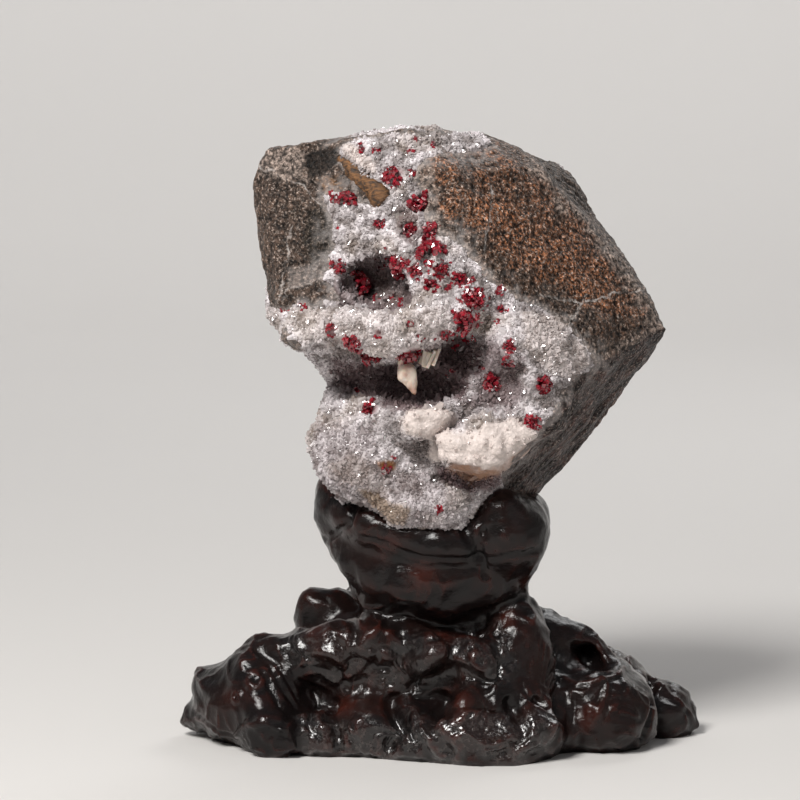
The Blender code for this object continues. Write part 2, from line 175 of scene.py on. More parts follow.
def pathOn(tree, spots):  # a drawn line laid on a surface
    step, farthestHop = 5.0, 8 * mm
    path = []
    for (ax, ay), (bx, by) in zip(spots[:-1], spots[1:]):
        count = max(1, int(math.hypot(bx - ax, by - ay) / step))
        path += [(ax + (bx - ax) * k / count, ay + (by - ay) * k / count) for k in range(count)]
    places = [touched(tree, spot)[0] for spot in path + [spots[-1]]]
    places = [place for place in places if place is not None]
    return [place for k, place in enumerate(places)
            if k == 0 or np.linalg.norm(place - places[k - 1]) < farthestHop] or places[:1]


# Skins: even closed meshes of quads round the CAD solids, held as arrays.

def closedCopy(name, grow=0.0):  # a CAD node as one closed bmesh, grown outwards
    whole = bmesh.new()
    whole.from_mesh(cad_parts[name].data)
    bmesh.ops.remove_doubles(whole, verts=whole.verts, dist=1e-6)
    whole.normal_update()
    for v, normal in zip(whole.verts, [v.normal.copy() for v in whole.verts]):
        v.co += normal * grow
    return whole


def meshFrom(whole, name):  # a bmesh as a mesh; the bmesh is freed
    mesh = bpy.data.meshes.new(name)
    whole.to_mesh(mesh)
    whole.free()
    return mesh


def linked(name, data):
    holder = bpy.data.objects.new(name, data)
    scene.collection.objects.link(holder)
    return holder


def result(holder):  # the evaluated object as a plain mesh
    return bpy.data.meshes.new_from_object(holder.evaluated_get(bpy.context.evaluated_depsgraph_get()))


def voxelSkin(whole, voxel):
    holder = linked("skin", meshFrom(whole, "skin"))
    remesh = holder.modifiers.new("remesh", "REMESH")
    remesh.mode, remesh.voxel_size = "VOXEL", voxel
    even = result(holder)
    points = np.empty(len(even.vertices) * 3)
    even.vertices.foreach_get("co", points)
    corners = np.empty(len(even.loops), np.int32)
    even.loops.foreach_get("vertex_index", corners)
    bpy.data.objects.remove(holder)
    bpy.data.meshes.remove(even)
    return points.reshape(-1, 3), corners.reshape(-1, 4)


def normalsOf(points, faces):
    lean = np.cross(points[faces[:, 2]] - points[faces[:, 0]], points[faces[:, 3]] - points[faces[:, 1]])
    total = np.column_stack([sum(np.bincount(faces[:, k], lean[:, axis], len(points)) for k in range(4))
                             for axis in range(3)])
    return total / np.maximum(np.linalg.norm(total, axis=1, keepdims=True), 1e-12)


def evened(values, faces, rounds, share=0.5):  # each value drawn towards the mean of its neighbours
    loops = np.concatenate([faces[:, [k, (k + 1) % 4]] for k in range(4)])
    table = np.array(values, float).reshape(len(values), -1)
    count = np.maximum(np.bincount(loops[:, 0], minlength=len(table)), 1)[:, None]
    for _ in range(rounds):
        around = np.column_stack([np.bincount(loops[:, 0], table[loops[:, 1], k], len(table))
                                  for k in range(table.shape[1])]) / count
        table += share * (around - table)
    return table.reshape(np.shape(values))


def raisedShare(points, faces, rounds, full):  # -1 to 1: how a point stands above its surroundings
    above = points - evened(points, faces, rounds, 1.0)
    return np.clip(np.einsum("ij,ij->i", above, normalsOf(points, faces)) / full, -1, 1)


def treeOf(points, faces):
    return BVHTree.FromPolygons([tuple(p) for p in points], [tuple(f) for f in faces])


def meshOf(name, points, faces, masks):
    mesh = bpy.data.meshes.new(name)
    mesh.from_pydata(points.tolist(), [], faces.tolist())
    for label, values in masks.items():
        mesh.attributes.new(label, "FLOAT", "POINT").data.foreach_set("value", np.asarray(values, np.float32))
    return mesh


def pieceOf(name, mesh, finish, smooth=True, replaces=()):
    piece = linked(name, mesh)
    mesh.materials.clear()
    mesh.materials.append(finish)
    mesh.shade_smooth() if smooth else mesh.shade_flat()
    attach(piece, "root")
    if replaces:
        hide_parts(*replaces)


# Shader helpers. Every helper takes put, which adds one node to the tree at hand.

def wiring(tree):
    def put(kind, sockets=None, out=0, **settings):
        node = tree.nodes.new(kind)
        for key, value in settings.items():
            setattr(node, key, value)
        for key, value in (sockets or {}).items():
            if isinstance(value, bpy.types.NodeSocket):
                tree.links.new(value, node.inputs[key])
            else:
                node.inputs[key].default_value = value
        return node.outputs[out]
    return put


def palette(**colours):
    return {name: (*colour, 1.0) for name, colour in colours.items()}


def blended(put, share, under, over, mode="MIX"):
    return put("ShaderNodeMix", {0: share, 6: under, 7: over}, out=2, data_type="RGBA", blend_type=mode)


def ranged(put, value, low, high, least=0.0, most=1.0):
    return put("ShaderNodeMapRange", {"Value": value, "From Min": low, "From Max": high,
                                      "To Min": least, "To Max": most})


def between(put, share, least, most):
    return ranged(put, share, 0.0, 1.0, least, most)


def sums(put, operation, first, second, clamp=False):
    return put("ShaderNodeMath", {0: first, 1: second}, operation=operation, use_clamp=clamp)


def times(put, first, second):
    return sums(put, "MULTIPLY", first, second)


def plus(put, first, second, clamp=False):
    return sums(put, "ADD", first, second, clamp)


def mask(put, name):
    return put("ShaderNodeAttribute", out="Fac", attribute_name=name)


def noise(put, vector, scale, detail=2.0, roughness=0.5, distortion=0.0):
    return put("ShaderNodeTexNoise", {"Vector": vector, "Scale": scale, "Detail": detail,
                                      "Roughness": roughness, "Distortion": distortion})


def stretched(put, place, scale, turn=(0.0, 0.0, 0.0)):
    return put("ShaderNodeMapping", {"Vector": place, "Rotation": turn, "Scale": scale})


def bumped(put, strength, distance, height):
    return put("ShaderNodeBump", {"Strength": strength, "Distance": distance, "Height": height})


def shaded(put, colour, shade):
    return blended(put, 1.0, colour, put("ShaderNodeCombineColor", {0: shade, 1: shade, 2: shade}), "MULTIPLY")


def layered(put, colour, tints, layers):  # each mask lays its own colour over what is there
    for name, most in layers:
        colour = blended(put, times(put, mask(put, name), most), colour, tints[name])
    return colour


def sharedGroup(name, inputs, outputs, wire):
    tree = bpy.data.node_groups.new(name, "ShaderNodeTree")
    for label, value in inputs.items():
        kind = "NodeSocketVector" if value is None else "NodeSocketFloat"
        socket = tree.interface.new_socket(label, in_out="INPUT", socket_type=kind)
        if value is not None:
            socket.default_value = value
    for label in outputs:
        tree.interface.new_socket(label, in_out="OUTPUT", socket_type="NodeSocketFloat")
    entry = tree.nodes.new("NodeGroupInput").outputs
    leave = tree.nodes.new("NodeGroupOutput").inputs
    for label, socket in zip(outputs, wire(wiring(tree), entry)):
        tree.links.new(socket, leave[label])
    return tree


def grainWires(put, entry):  # fine speckle, broad mottle and a height for bump
    place, fineness = entry["Place"], entry["Fineness"]
    fine = noise(put, place, fineness, 3.0, 0.65)
    broad = noise(put, place, times(put, fineness, 0.16), 4.0, 0.6)
    chips = put("ShaderNodeTexVoronoi", {"Vector": place, "Scale": times(put, fineness, 0.8)})
    height = plus(put, times(put, chips, 0.6), times(put, fine, 0.8))
    return ranged(put, fine, 0.3, 0.7), ranged(put, broad, 0.32, 0.68), height


def wearWires(put, entry):  # where hands and dust reach: raised places, broken up by noise
    patches = noise(put, entry["Place"], entry["Patches"], 5.0, 0.6)
    lifted = ranged(put, entry["Raised"], entry["From"], entry["To"])
    return [sums(put, "MULTIPLY", lifted, ranged(put, patches, 0.38, 0.62), clamp=True)]


grainOutputs = ["Speckle", "Mottle", "Height"]
mineralGrain = sharedGroup("mineralGrain", {"Place": None, "Fineness": 900.0}, grainOutputs, grainWires)
edgeWear = sharedGroup("edgeWear", {"Place": None, "Raised": 0.0, "From": 0.0, "To": 1.0, "Patches": 90.0},
                       ["Wear"], wearWires)


def useGroup(put, group, sockets, out):
    return put("ShaderNodeGroup", sockets, out=out, node_tree=group)


def grainOf(put, place, fineness):
    return [useGroup(put, mineralGrain, {"Place": place, "Fineness": fineness}, label) for label in grainOutputs]


def finishOf(name, wire):  # a material whose wire function returns the Principled BSDF's sockets
    material = bpy.data.materials.new(name)
    material.use_nodes = True
    put = wiring(material.node_tree)
    shader = material.node_tree.nodes["Principled BSDF"]
    for key, value in wire(put, put("ShaderNodeTexCoord", out="Object")).items():
        if isinstance(value, bpy.types.NodeSocket):
            material.node_tree.links.new(value, shader.inputs[key])
        else:
            shader.inputs[key].default_value = value
    return material


# Materials.

# In rockTints, under is a near-black brown: painted shade on the underside.
rockTints = palette(
    base=(0.130, 0.085, 0.063), dark=(0.034, 0.020, 0.014), pale=(0.35, 0.275, 0.235), rust=(0.48, 0.19, 0.085),
    deepRust=(0.075, 0.036, 0.020), fleck=(0.62, 0.50, 0.43), vein=(0.56, 0.51, 0.48), under=(0.022, 0.011, 0.010),
    streak=(0.14, 0.080, 0.068), olive=(0.036, 0.026, 0.018), patch=(0.028, 0.020, 0.016),
    tint=(0.22, 0.115, 0.055), crumb=(0.55, 0.50, 0.48), black=(0.0, 0.0, 0.0))
streakTurn = (0.0, math.radians(-46.0), 0.0)
veinTurn = (0.5, 0.3, 0.9)


def rockWires(put, place):
    tints, rust = rockTints, mask(put, "rust")
    speckle, mottle, height = grainOf(put, place, 900.0)
    colour = blended(put, between(put, mottle, 0.0, 0.75), tints["base"], tints["dark"])
    colour = layered(put, colour, tints, (("pale", 0.8), ("olive", 1.0), ("tint", 0.8), ("patch", 1.0)))
    rusty = ranged(put, noise(put, place, 1300.0, 4.0, 0.75), 0.42, 0.62)
    colour = blended(put, rust, colour, blended(put, rusty, tints["deepRust"], tints["rust"]))
    streaks = noise(put, stretched(put, place, (0.16, 0.5, 1.0), streakTurn), 260.0, 4.0, 0.6)
    # The underside and the unseen faces turned down get a near-black brown with lighter streaks: painted shade.
    under = blended(put, ranged(put, streaks, 0.46, 0.62), tints["under"], tints["streak"])
    colour = blended(put, mask(put, "under"), colour, under)
    colour = blended(put, ranged(put, speckle, 0.15, 0.85, 0.15, 1.75), tints["black"], colour)
    # Sparse pale flecks: partly mineral specks, partly painted glints.
    flecks = ranged(put, noise(put, place, 1250.0, 2.0, 0.7), 0.54, 0.63, 0.0, 0.55)
    plain = plus(put, mask(put, "patch"), times(put, mask(put, "olive"), 0.5))
    colour = blended(put, times(put, flecks, between(put, plain, 1.0, 0.15)), colour, tints["fleck"])
    # Darker pits from noise, and the raised mask: painted shade in hollows and creases, painted light on raised
    # places.
    pits = ranged(put, noise(put, place, 820.0, 3.0, 0.7), 0.40, 0.54,
                  between(put, rust, 0.25, 0.07), between(put, rust, 1.12, 1.35))
    colour = shaded(put, colour, times(put, ranged(put, mask(put, "raised"), -0.9, 0.9, 0.15, 1.5), pits))
    jitter = ranged(put, noise(put, place, 240.0, 4.0, 0.6), 0.2, 0.8, -5.0, 5.0)
    across = sums(put, "ABSOLUTE", plus(put, mask(put, "veinAcross"), jitter), 0.0)
    vein = times(put, ranged(put, across, 0.2, 1.6, 1.0, 0.0), mask(put, "veinNear"))
    vein = times(put, vein, ranged(put, mottle, 0.1, 0.7, 0.95, 0.1))
    hidden = put("ShaderNodeTexVoronoi", {"Vector": stretched(put, place, (1.0, 1.0, 0.45), veinTurn),
                                          "Scale": 23.0}, feature="DISTANCE_TO_EDGE")
    hidden = times(put, ranged(put, hidden, 0.003, 0.011, 1.0, 0.0), ranged(put, mottle, 0.35, 0.8))
    hidden = times(put, hidden, between(put, mask(put, "seen"), 0.8, 0.0))
    colour = blended(put, sums(put, "MAXIMUM", vein, hidden), colour, tints["vein"])
    return {"Base Color": layered(put, colour, tints, [("crumb", 0.42)]), "Normal": bumped(put, 0.9, 0.0014, height),
            "Roughness": between(put, speckle, 0.26, 0.62), "Specular IOR Level": 0.26}


# The smoky colour is grey smoky quartz, and painted shade in the hollows and unseen cavities.
crustTints = palette(
    white=(0.94, 0.88, 0.90), grey=(0.31, 0.265, 0.255), smoky=(0.225, 0.155, 0.16), cream=(0.80, 0.695, 0.65),
    limonite=(0.36, 0.155, 0.045), rock=(0.075, 0.052, 0.040), tan=(0.46, 0.34, 0.22), rim=(0.42, 0.23, 0.14),
    stain=(0.16, 0.018, 0.024))
crustLayers = (("tan", 0.8), ("smoky", 0.95), ("cream", 1.0), ("rim", 0.9), ("limonite", 1.0), ("rock", 1.0),
               ("stain", 1.0))


def crustColour(put, place, tone):  # shared by the crust and by the crystals that stand on it
    clouds = ranged(put, noise(put, place, 105.0, 3.0, 0.55), 0.36, 0.62, -0.25, 0.5)
    tone = plus(put, times(put, tone, 0.4), clouds, clamp=True)
    # Raised places of the crust whiter and its creases greyer: painted light and painted shade.
    tone = plus(put, tone, ranged(put, mask(put, "raised"), -0.8, 0.8, -0.45, 0.45), clamp=True)
    return layered(put, blended(put, tone, crustTints["grey"], crustTints["white"]), crustTints, crustLayers)


def crustWires(put, place):
    speckle, mottle, height = grainOf(put, place, 1100.0)
    colour = crustColour(put, place, between(put, mottle, 0.35, 1.0))
    return {"Base Color": shaded(put, colour, between(put, speckle, 0.72, 1.0)),
            "Roughness": between(put, speckle, 0.3, 0.6), "Normal": bumped(put, 0.8, 0.0005, height)}


def druseWires(put, place):
    return {"Base Color": crustColour(put, place, between(put, mask(put, "tone"), 0.0, 1.0)), "IOR": 1.6,
            "Roughness": ranged(put, noise(put, place, 2600.0), 0.35, 0.65, 0.04, 0.16), "Transmission Weight": 0.3}


cinnabarTints = palette(deep=(0.070, 0.002, 0.006), bright=(0.54, 0.020, 0.042))


def cinnabarWires(put, place):
    patches = noise(put, place, 900.0, 3.0)
    share = times(put, ranged(put, patches, 0.3, 0.7), between(put, mask(put, "tone"), 0.3, 1.0))
    return {"Base Color": blended(put, share, cinnabarTints["deep"], cinnabarTints["bright"]), "IOR": 1.9,
            "Roughness": ranged(put, patches, 0.3, 0.7, 0.07, 0.24), "Normal": bumped(put, 0.25, 0.0002, patches)}


limoniteTints = palette(dark=(0.036, 0.019, 0.010), brown=(0.23, 0.108, 0.042))
limoniteTurn = (0.0, math.radians(-41.0), 0.0)


def limoniteWires(put, place):
    streaks = noise(put, stretched(put, place, (0.3, 1.0, 1.0), limoniteTurn), 900.0, 4.0, 0.65)
    colour = blended(put, ranged(put, streaks, 0.40, 0.62), limoniteTints["dark"], limoniteTints["brown"])
    return {"Base Color": colour, "Roughness": ranged(put, streaks, 0.3, 0.7, 0.5, 0.8),
            "Normal": bumped(put, 0.9, 0.001, streaks)}


calciteTints = palette(body=(0.80, 0.68, 0.58), bands=(0.62, 0.42, 0.31), stained=(0.42, 0.21, 0.13))


def calciteWires(put, place):
    bands = noise(put, stretched(put, place, (1.0, 1.0, 0.3)), 420.0, 4.0)
    colour = blended(put, ranged(put, bands, 0.45, 0.75), calciteTints["body"], calciteTints["bands"])
    return {"Base Color": layered(put, colour, calciteTints, [("stained", 1.0)]), "IOR": 1.6,
            "Roughness": ranged(put, bands, 0.3, 0.7, 0.22, 0.5), "Normal": bumped(put, 0.5, 0.0004, bands),
            "Subsurface Weight": 0.25, "Subsurface Scale": 0.002}


woodTints = palette(black=(0.0055, 0.0040, 0.0040), brown=(0.013, 0.0056, 0.0045), worn=(0.062, 0.013, 0.008),
                    dust=(0.17, 0.145, 0.135))


def woodWires(put, place):
    tints, coarse = woodTints, mask(put, "coarse")
    cloud = noise(put, place, 55.0, 5.0, 0.6)
    fine = noise(put, place, 700.0, 4.0, 0.65)
    grain = noise(put, stretched(put, place, (0.25, 1.0, 1.0)), 420.0, 4.0, 0.6)
    gnarls = noise(put, place, 280.0, 3.0, 0.55, 1.6)
    crumbs = put("ShaderNodeTexVoronoi", {"Vector": place, "Scale": 620.0, "Randomness": 1.0})
    wear = useGroup(put, edgeWear, {"Place": place, "Raised": mask(put, "raised"), "From": 0.1, "To": 0.9,
                                    "Patches": 75.0}, "Wear")
    colour = blended(put, ranged(put, cloud, 0.42, 0.66), tints["black"], tints["brown"])
    colour = blended(put, times(put, wear, 0.45), colour, tints["worn"])
    # Reddish spots where the tint mask lies, in the same reddish colour.
    colour = blended(put, times(put, mask(put, "tint"), ranged(put, cloud, 0.35, 0.6)), colour, tints["worn"])
    dust = times(put, coarse, ranged(put, fine, 0.50, 0.66))
    colour = blended(put, times(put, dust, 0.22), colour, tints["dust"])
    rough = plus(put, times(put, crumbs, 0.5), times(put, gnarls, 1.3))
    height = plus(put, plus(put, times(put, fine, 0.5), times(put, grain, 0.5)), times(put, coarse, rough))
    dimples = times(put, coarse, plus(put, gnarls, times(put, crumbs, 0.35)))
    return {"Base Color": colour, "Roughness": ranged(put, fine, 0.3, 0.7, 0.09, 0.28),
            "Normal": bumped(put, 0.55, 0.0007, height), "Specular IOR Level": 0.27, "Coat Roughness": 0.07,
            "Coat Weight": between(put, coarse, 0.08, 0.95), "Coat Normal": bumped(put, 0.5, 0.0006, dimples)}


rockMaterial = finishOf("brokenLimestone", rockWires)
crustMaterial = finishOf("quartzCrust", crustWires)
druseMaterial = finishOf("quartzPoints", druseWires)
cinnabarMaterial = finishOf("cinnabarCrystal", cinnabarWires)
calciteMaterial = finishOf("creamCalcite", calciteWires)
limoniteMaterial = finishOf("limonite", limoniteWires)
woodMaterial = finishOf("lacqueredRoot", woodWires)
report("materials made")

# The stone's skin, and its zones as outlines on the drawing.

drawn = {
    "quartz": [(341, 143), (385, 136), (440, 133), (482, 136), (490, 146), (470, 152), (440, 152), (425, 158),
               (416, 170), (412, 185), (425, 190), (420, 205), (428, 225), (440, 234), (450, 236), (470, 255),
               (495, 285), (520, 298), (545, 310), (585, 345), (597, 365), (583, 372), (571, 382), (560, 396),
               (557, 408), (548, 420), (539, 432), (524, 449), (510, 463), (503, 478), (500, 492), (480, 520),
               (455, 532), (400, 530), (366, 512), (345, 500), (325, 495), (312, 480), (310, 440), (325, 410),
               (330, 385), (318, 362), (300, 345), (285, 328), (268, 318), (266, 308), (283, 311), (305, 306),
               (330, 302), (339, 296), (330, 285), (324, 276), (330, 261), (333, 238), (333, 217), (325, 205),
               (321, 199), (333, 191), (345, 195), (363, 205), (378, 206), (383, 199), (372, 190), (357, 179),
               (349, 168), (339, 158)],
    "rod": [(338, 164), (346, 158), (363, 176), (374, 183), (386, 193), (382, 201), (368, 205), (361, 204),
            (363, 193), (348, 180), (341, 171)],
    "band": [(342, 145), (351, 145), (363, 155), (379, 164), (377, 173), (371, 171), (357, 164), (345, 155)],
    "darkPatch": [(305, 155), (316, 148), (336, 147), (341, 158), (338, 164), (321, 177), (308, 176)],
    "oval": [(310, 211), (330, 208), (336, 225), (334, 250), (327, 264), (310, 262), (303, 245), (304, 225)],
    "glitter": [(289, 267), (324, 267), (318, 280), (300, 288), (289, 288)],
    "paleCorner": [(256, 150), (304, 150), (306, 179), (290, 179), (260, 172)],
    "rusty": [(425, 158), (440, 152), (470, 152), (490, 146), (509, 150), (530, 165), (552, 195), (580, 222),
              (608, 258), (628, 292), (648, 315), (640, 330), (600, 352), (585, 340), (545, 304), (520, 292),
              (497, 279), (472, 249), (452, 230), (440, 215)],
    "rustCore": [(458, 192), (492, 190), (540, 205), (585, 235), (612, 270), (632, 305), (600, 320), (560, 290),
                 (520, 270), (495, 240), (470, 225)],
    "plane": [(425, 158), (440, 152), (470, 152), (490, 146), (482, 136), (509, 144), (535, 160), (557, 188),
              (586, 217), (616, 252), (638, 288), (661, 316), (669, 329), (598, 364), (585, 345), (545, 310),
              (520, 298), (495, 285), (470, 255), (450, 236), (440, 234), (428, 225), (420, 205), (425, 190),
              (412, 185), (416, 170)],
    "under": [(668, 326), (598, 364), (571, 382), (560, 396), (557, 408), (539, 432), (524, 449), (504, 470),
              (501, 490), (539, 494), (554, 482), (630, 385), (672, 332)],
    "lump": [(535, 157), (552, 155), (563, 167), (576, 185), (590, 215), (580, 211), (557, 188)],
    "cream": [(399, 417), (410, 410), (433, 408), (448, 410), (455, 420), (457, 431), (463, 434), (477, 431),
              (495, 426), (510, 417), (539, 435), (542, 439), (518, 455), (504, 470), (480, 470), (466, 467),
              (448, 461), (430, 464), (430, 449), (428, 434), (410, 432), (401, 426)],
    "creamRim": [(519, 449), (542, 436), (543, 448), (520, 464), (500, 477), (478, 477), (470, 484), (463, 477),
                 (448, 469), (450, 460), (466, 461), (482, 465), (503, 464)],
    "shelf": [(307, 308), (451, 305), (456, 330), (420, 352), (380, 352), (330, 345), (307, 330)],
    "smokyRight": [(477, 338), (500, 345), (520, 360), (527, 390), (515, 410), (485, 412), (470, 400), (478, 370)],
    "upperHollow": [(336, 292), (340, 272), (350, 261), (366, 256), (386, 256), (401, 268), (409, 290), (408, 308),
                    (395, 312), (365, 312), (341, 307)],
    "wideHollow": [(330, 362), (352, 358), (392, 366), (420, 344), (450, 336), (478, 338), (478, 370), (462, 400),
                   (430, 408), (400, 414), (360, 392), (332, 388)],
    "pocket": [(433, 466), (460, 464), (480, 473), (503, 470), (500, 488), (470, 494), (440, 484)],
    "greyPatch": [(395, 215), (405, 206), (420, 212), (424, 232), (412, 243), (398, 238)],
    "tanFoot": [(357, 488), (372, 490), (385, 500), (410, 508), (405, 522), (388, 518), (370, 505)],
    "greyFoot": [(312, 425), (372, 425), (385, 465), (425, 475), (455, 500), (450, 532), (400, 534), (330, 500),
                 (312, 482)],
    "shoulder": [(520, 315), (548, 318), (582, 348), (592, 362), (570, 378), (545, 370), (525, 345)],
    "chip": [(376, 461), (388, 459), (397, 462), (394, 468), (380, 468)],
    "lowBand": [(440, 222), (462, 226), (492, 248), (520, 272), (560, 292), (606, 314), (662, 318), (640, 334),
                (600, 354), (585, 342), (545, 306), (497, 281), (470, 252)],
    "tint": [(315, 177), (342, 177), (342, 190), (324, 194)],
    "strip": [(533, 156), (560, 186), (590, 216), (620, 250), (642, 285), (672, 325), (655, 331), (630, 296),
              (606, 262), (577, 229), (548, 200), (526, 170)],
}
edges = {  # how soft and how wandering an outline's edge is, in units of the drawing, where it isn't 2 and 2
    "paleCorner": (5, 6), "oval": (4, 4), "darkPatch": (1.5, 2.5), "rusty": (8, 11), "rustCore": (8, 10),
    "smokyRight": (7, 7), "upperHollow": (4, 4), "wideHollow": (6, 6), "pocket": (3, 3), "cream": (3, 4),
    "shelf": (5, 7), "greyPatch": (4, 4), "greyFoot": (6, 6), "lowBand": (5, 7), "plane": (1.5, 0), "under": (1.5, 0)}
veins = [[(289, 232), (288, 261), (280, 296), (276, 308)], [(262, 168), (304, 187), (316, 202)],
         [(286, 290), (318, 280), (328, 275)], [(492, 193), (491, 217), (485, 249), (479, 267)],
         [(545, 296), (583, 302), (639, 290)], [(560, 345), (572, 318), (583, 300)]]
stone = {"voxel": 0.85 * mm, "crustGrow": 0.4 * mm, "smoothing": 1, "leastFacing": 0.04, "outlineReach": 9 * mm,
         "nodeReach": 6 * mm, "veinFade": (-9.0, -4.0)}

whole = closedCopy("host_rock")
whole.from_mesh(meshFrom(closedCopy("quartz_crust", stone["crustGrow"]), "extra"))
skin, faces = voxelSkin(whole, stone["voxel"])
skin = evened(skin, faces, stone["smoothing"])
normals = normalsOf(skin, faces)
spots = drawnAt(skin)
tree = treeOf(skin, faces)
report(f"stone skin, {len(faces)} quads")


def skinNoise(size, seed):
    return latticeNoise(skin, size, seed)


def gapTo(name):  # how far each point of the skin is from a CAD node
    one = closedCopy(name)
    found = BVHTree.FromBMesh(one)
    one.free()
    return np.array([found.find_nearest(Vector(p))[3] for p in skin])


rockGap, crustGap = gapTo("host_rock"), gapTo("quartz_crust")
facing = frontness(skin, normals)
seen = np.zeros(len(skin))
for k in np.flatnonzero(facing > stone["leastFacing"]):
    start = Vector(skin[k] + normals[k] * rayLift)
    if tree.ray_cast(start, (Vector(eye) - start).normalized())[0] is None:
        seen[k] = 1.0
seen = evened(seen, faces, 3)
shown = smoothStep(seen, 0.3, 0.7)
away = 1 - shown
report("what shows from the front")

byOutline = np.clip(insideBy(spots, drawn["quartz"]) * unit, -stone["outlineReach"], stone["outlineReach"])
byNode = (np.clip(rockGap - crustGap, -stone["nodeReach"], stone["nodeReach"])
          + 7 * mm * skinNoise(15, 5) + 3 * mm * skinNoise(6, 6))
inCrust = evened(np.where(seen > 0.5, byOutline, byNode), faces, 4)
inCrust += 0.9 * mm * skinNoise(3.2, 3) + 0.5 * mm * skinNoise(1.3, 4)

wandering = skinNoise(2.4, 11)
zones = {}
for name in drawn:
    if name != "quartz":
        soft, wander = edges.get(name, (2, 2))
        visible = smoothStep(facing, -0.7, -0.2) if name == "creamRim" else shown
        zones[name] = smoothStep(insideBy(spots, drawn[name]) + wander * wandering, -soft, soft) * visible

veinAcross, nearest = np.full(len(skin), 9.0), np.full(len(skin), 1e9)
for line in veins:
    for start, end in zip(line[:-1], line[1:]):
        gap, (dx, dy) = segmentGap(spots, start, end)
        side = ((spots[:, 0] - start[0]) * dy - (spots[:, 1] - start[1]) * dx) / math.hypot(dx, dy)
        closer = gap < nearest
        veinAcross[closer], nearest[closer] = side[closer], gap[closer]
veinNear = smoothStep(-nearest, *stone["veinFade"]) * shown
report("zones drawn")

# Host rock.

rock = {"sinkUnderCrust": 1.3 * mm, "lumps": 0.30 * mm, "planeGrain": 0.62 * mm, "leftGrain": 0.34 * mm,
        "underGrooves": 0.6 * mm, "bedding": 0.25 * mm, "layerStep": 3.1 * mm, "hiddenLumps": 0.9 * mm,
        "hiddenSink": 0.3 * mm, "hiddenGrain": 0.25 * mm, "veinHeight": (0.25 * mm, 0.2 * mm),
        "upperDepth": 3.2 * mm, "wideDepth": 1.0 * mm, "raisedFull": 0.22 * mm}

streak = np.array((0.72, 0.0, 0.69))  # the way the underside's grooves run
flattened = skin - np.outer(skin @ streak, streak) * 0.86
planeLike = np.maximum(zones["plane"],
                       away * smoothStep(normals[:, 0], 0.1, 0.5) * smoothStep(normals[:, 2], 0.0, 0.3))
# The underside and the unseen faces turned down: grooves in the shape, and the mask of the dark under colour, which
# is painted shade.
grooved = np.maximum(zones["under"], away * smoothStep(-normals[:, 2], 0.15, 0.45))
relief = rock["lumps"] * (skinNoise(7, 21) + 0.6 * skinNoise(3.1, 22))
relief += planeLike * rock["planeGrain"] * (0.7 * np.minimum(skinNoise(2.0, 23), 0.25) + 0.7 * np.minimum(
    skinNoise(1.25, 24), 0.3) + 0.6 * skinNoise(5.5, 25))
relief += (1 - planeLike) * (1 - grooved) * rock["leftGrain"] * (skinNoise(2.2, 26) + 0.7 * skinNoise(1.2, 27))
relief += grooved * rock["underGrooves"] * (
    latticeNoise(flattened, 2.6, 28) - 0.5 * np.abs(latticeNoise(flattened, 5.5, 29)))
bed = skin @ np.array((0.45, 0.2, 0.87)) + 3.0 * mm * skinNoise(12, 30)
chipped = away * (1 - grooved) * smoothStep(skinNoise(20, 34), 0.0, 0.5)
relief += (zones["lump"] + 0.35 * chipped) * rock["bedding"] * np.sin(bed / rock["layerStep"] * math.tau)
relief += away * (rock["hiddenLumps"] * np.abs(skinNoise(13, 35)) - rock["hiddenSink"]
                  + rock["hiddenGrain"] * skinNoise(1.6, 36))
veinLine = veinNear * smoothStep(-np.abs(veinAcross), -3.0, -0.5)
ridge, furrow = rock["veinHeight"]
relief += veinLine * (ridge * (1 - planeLike) - furrow * planeLike)
sunk = smoothStep(inCrust, -0.6 * mm, 1.6 * mm)
deepened = evened(zones["upperHollow"] * rock["upperDepth"] + zones["wideHollow"] * rock["wideDepth"], faces, 6)
relief = relief * (1 - sunk) - rock["sinkUnderCrust"] * sunk - deepened
rockPoints = skin + normals * relief[:, None]
patchy = smoothStep(skinNoise(16, 31) + 0.5 * skinNoise(6, 32), -0.2, 0.7)
hiddenRust = away * patchy * (planeLike * 0.6 + (1 - grooved) * 0.25)
streaky = smoothStep(latticeNoise(flattened, 6, 37) + 0.6 * skinNoise(3, 38), -0.5, 0.5)
frontRust = np.maximum(zones["rusty"] * (0.2 + 0.6 * streaky), zones["rustCore"] * (0.6 + 0.4 * streaky))
pale = zones["paleCorner"] + 0.75 * zones["strip"] + 0.5 * zones["glitter"] + 0.2 * zones["lump"] + 0.6 * zones[
    "plane"] * (1 - zones["rusty"]) + 0.3 * away * smoothStep(skinNoise(11, 33), 0.1, 0.6)
crumbs = 0.8 * smoothStep(inCrust, -2.2 * mm, -0.2 * mm) + 0.35 * zones["glitter"] + 0.9 * smoothStep(
    inCrust, -8 * mm, -1 * mm) * smoothStep(skinNoise(3.4, 91) + 0.6 * skinNoise(1.6, 92), 0.0, 0.5)
rockMasks = {
    "rust": np.clip((1 - 0.75 * zones["lowBand"]) * frontRust + hiddenRust, 0, 1), "pale": np.clip(pale, 0, 1),
    "olive": np.clip(zones["oval"] + 0.5 * zones["lump"] + 0.35 * zones["lowBand"], 0, 1),
    # under: the dark underside colour, painted shade.
    "under": grooved, "patch": zones["darkPatch"], "tint": zones["tint"],
    # raised: how a point stands above its surroundings; the colour uses it for painted light and painted shade.
    "raised": raisedShare(rockPoints, faces, 2, rock["raisedFull"]),
    "veinAcross": veinAcross, "veinNear": veinNear, "seen": shown,
    "crumb": (1 - 0.9 * zones["darkPatch"]) * np.clip(crumbs, 0, 1),
}
pieceOf("hostRock", meshOf("hostRock", rockPoints, faces, rockMasks), rockMaterial,
        replaces=["host_rock"])
report(f"host rock, {len(faces) * 2} triangles")

# Quartz crust.

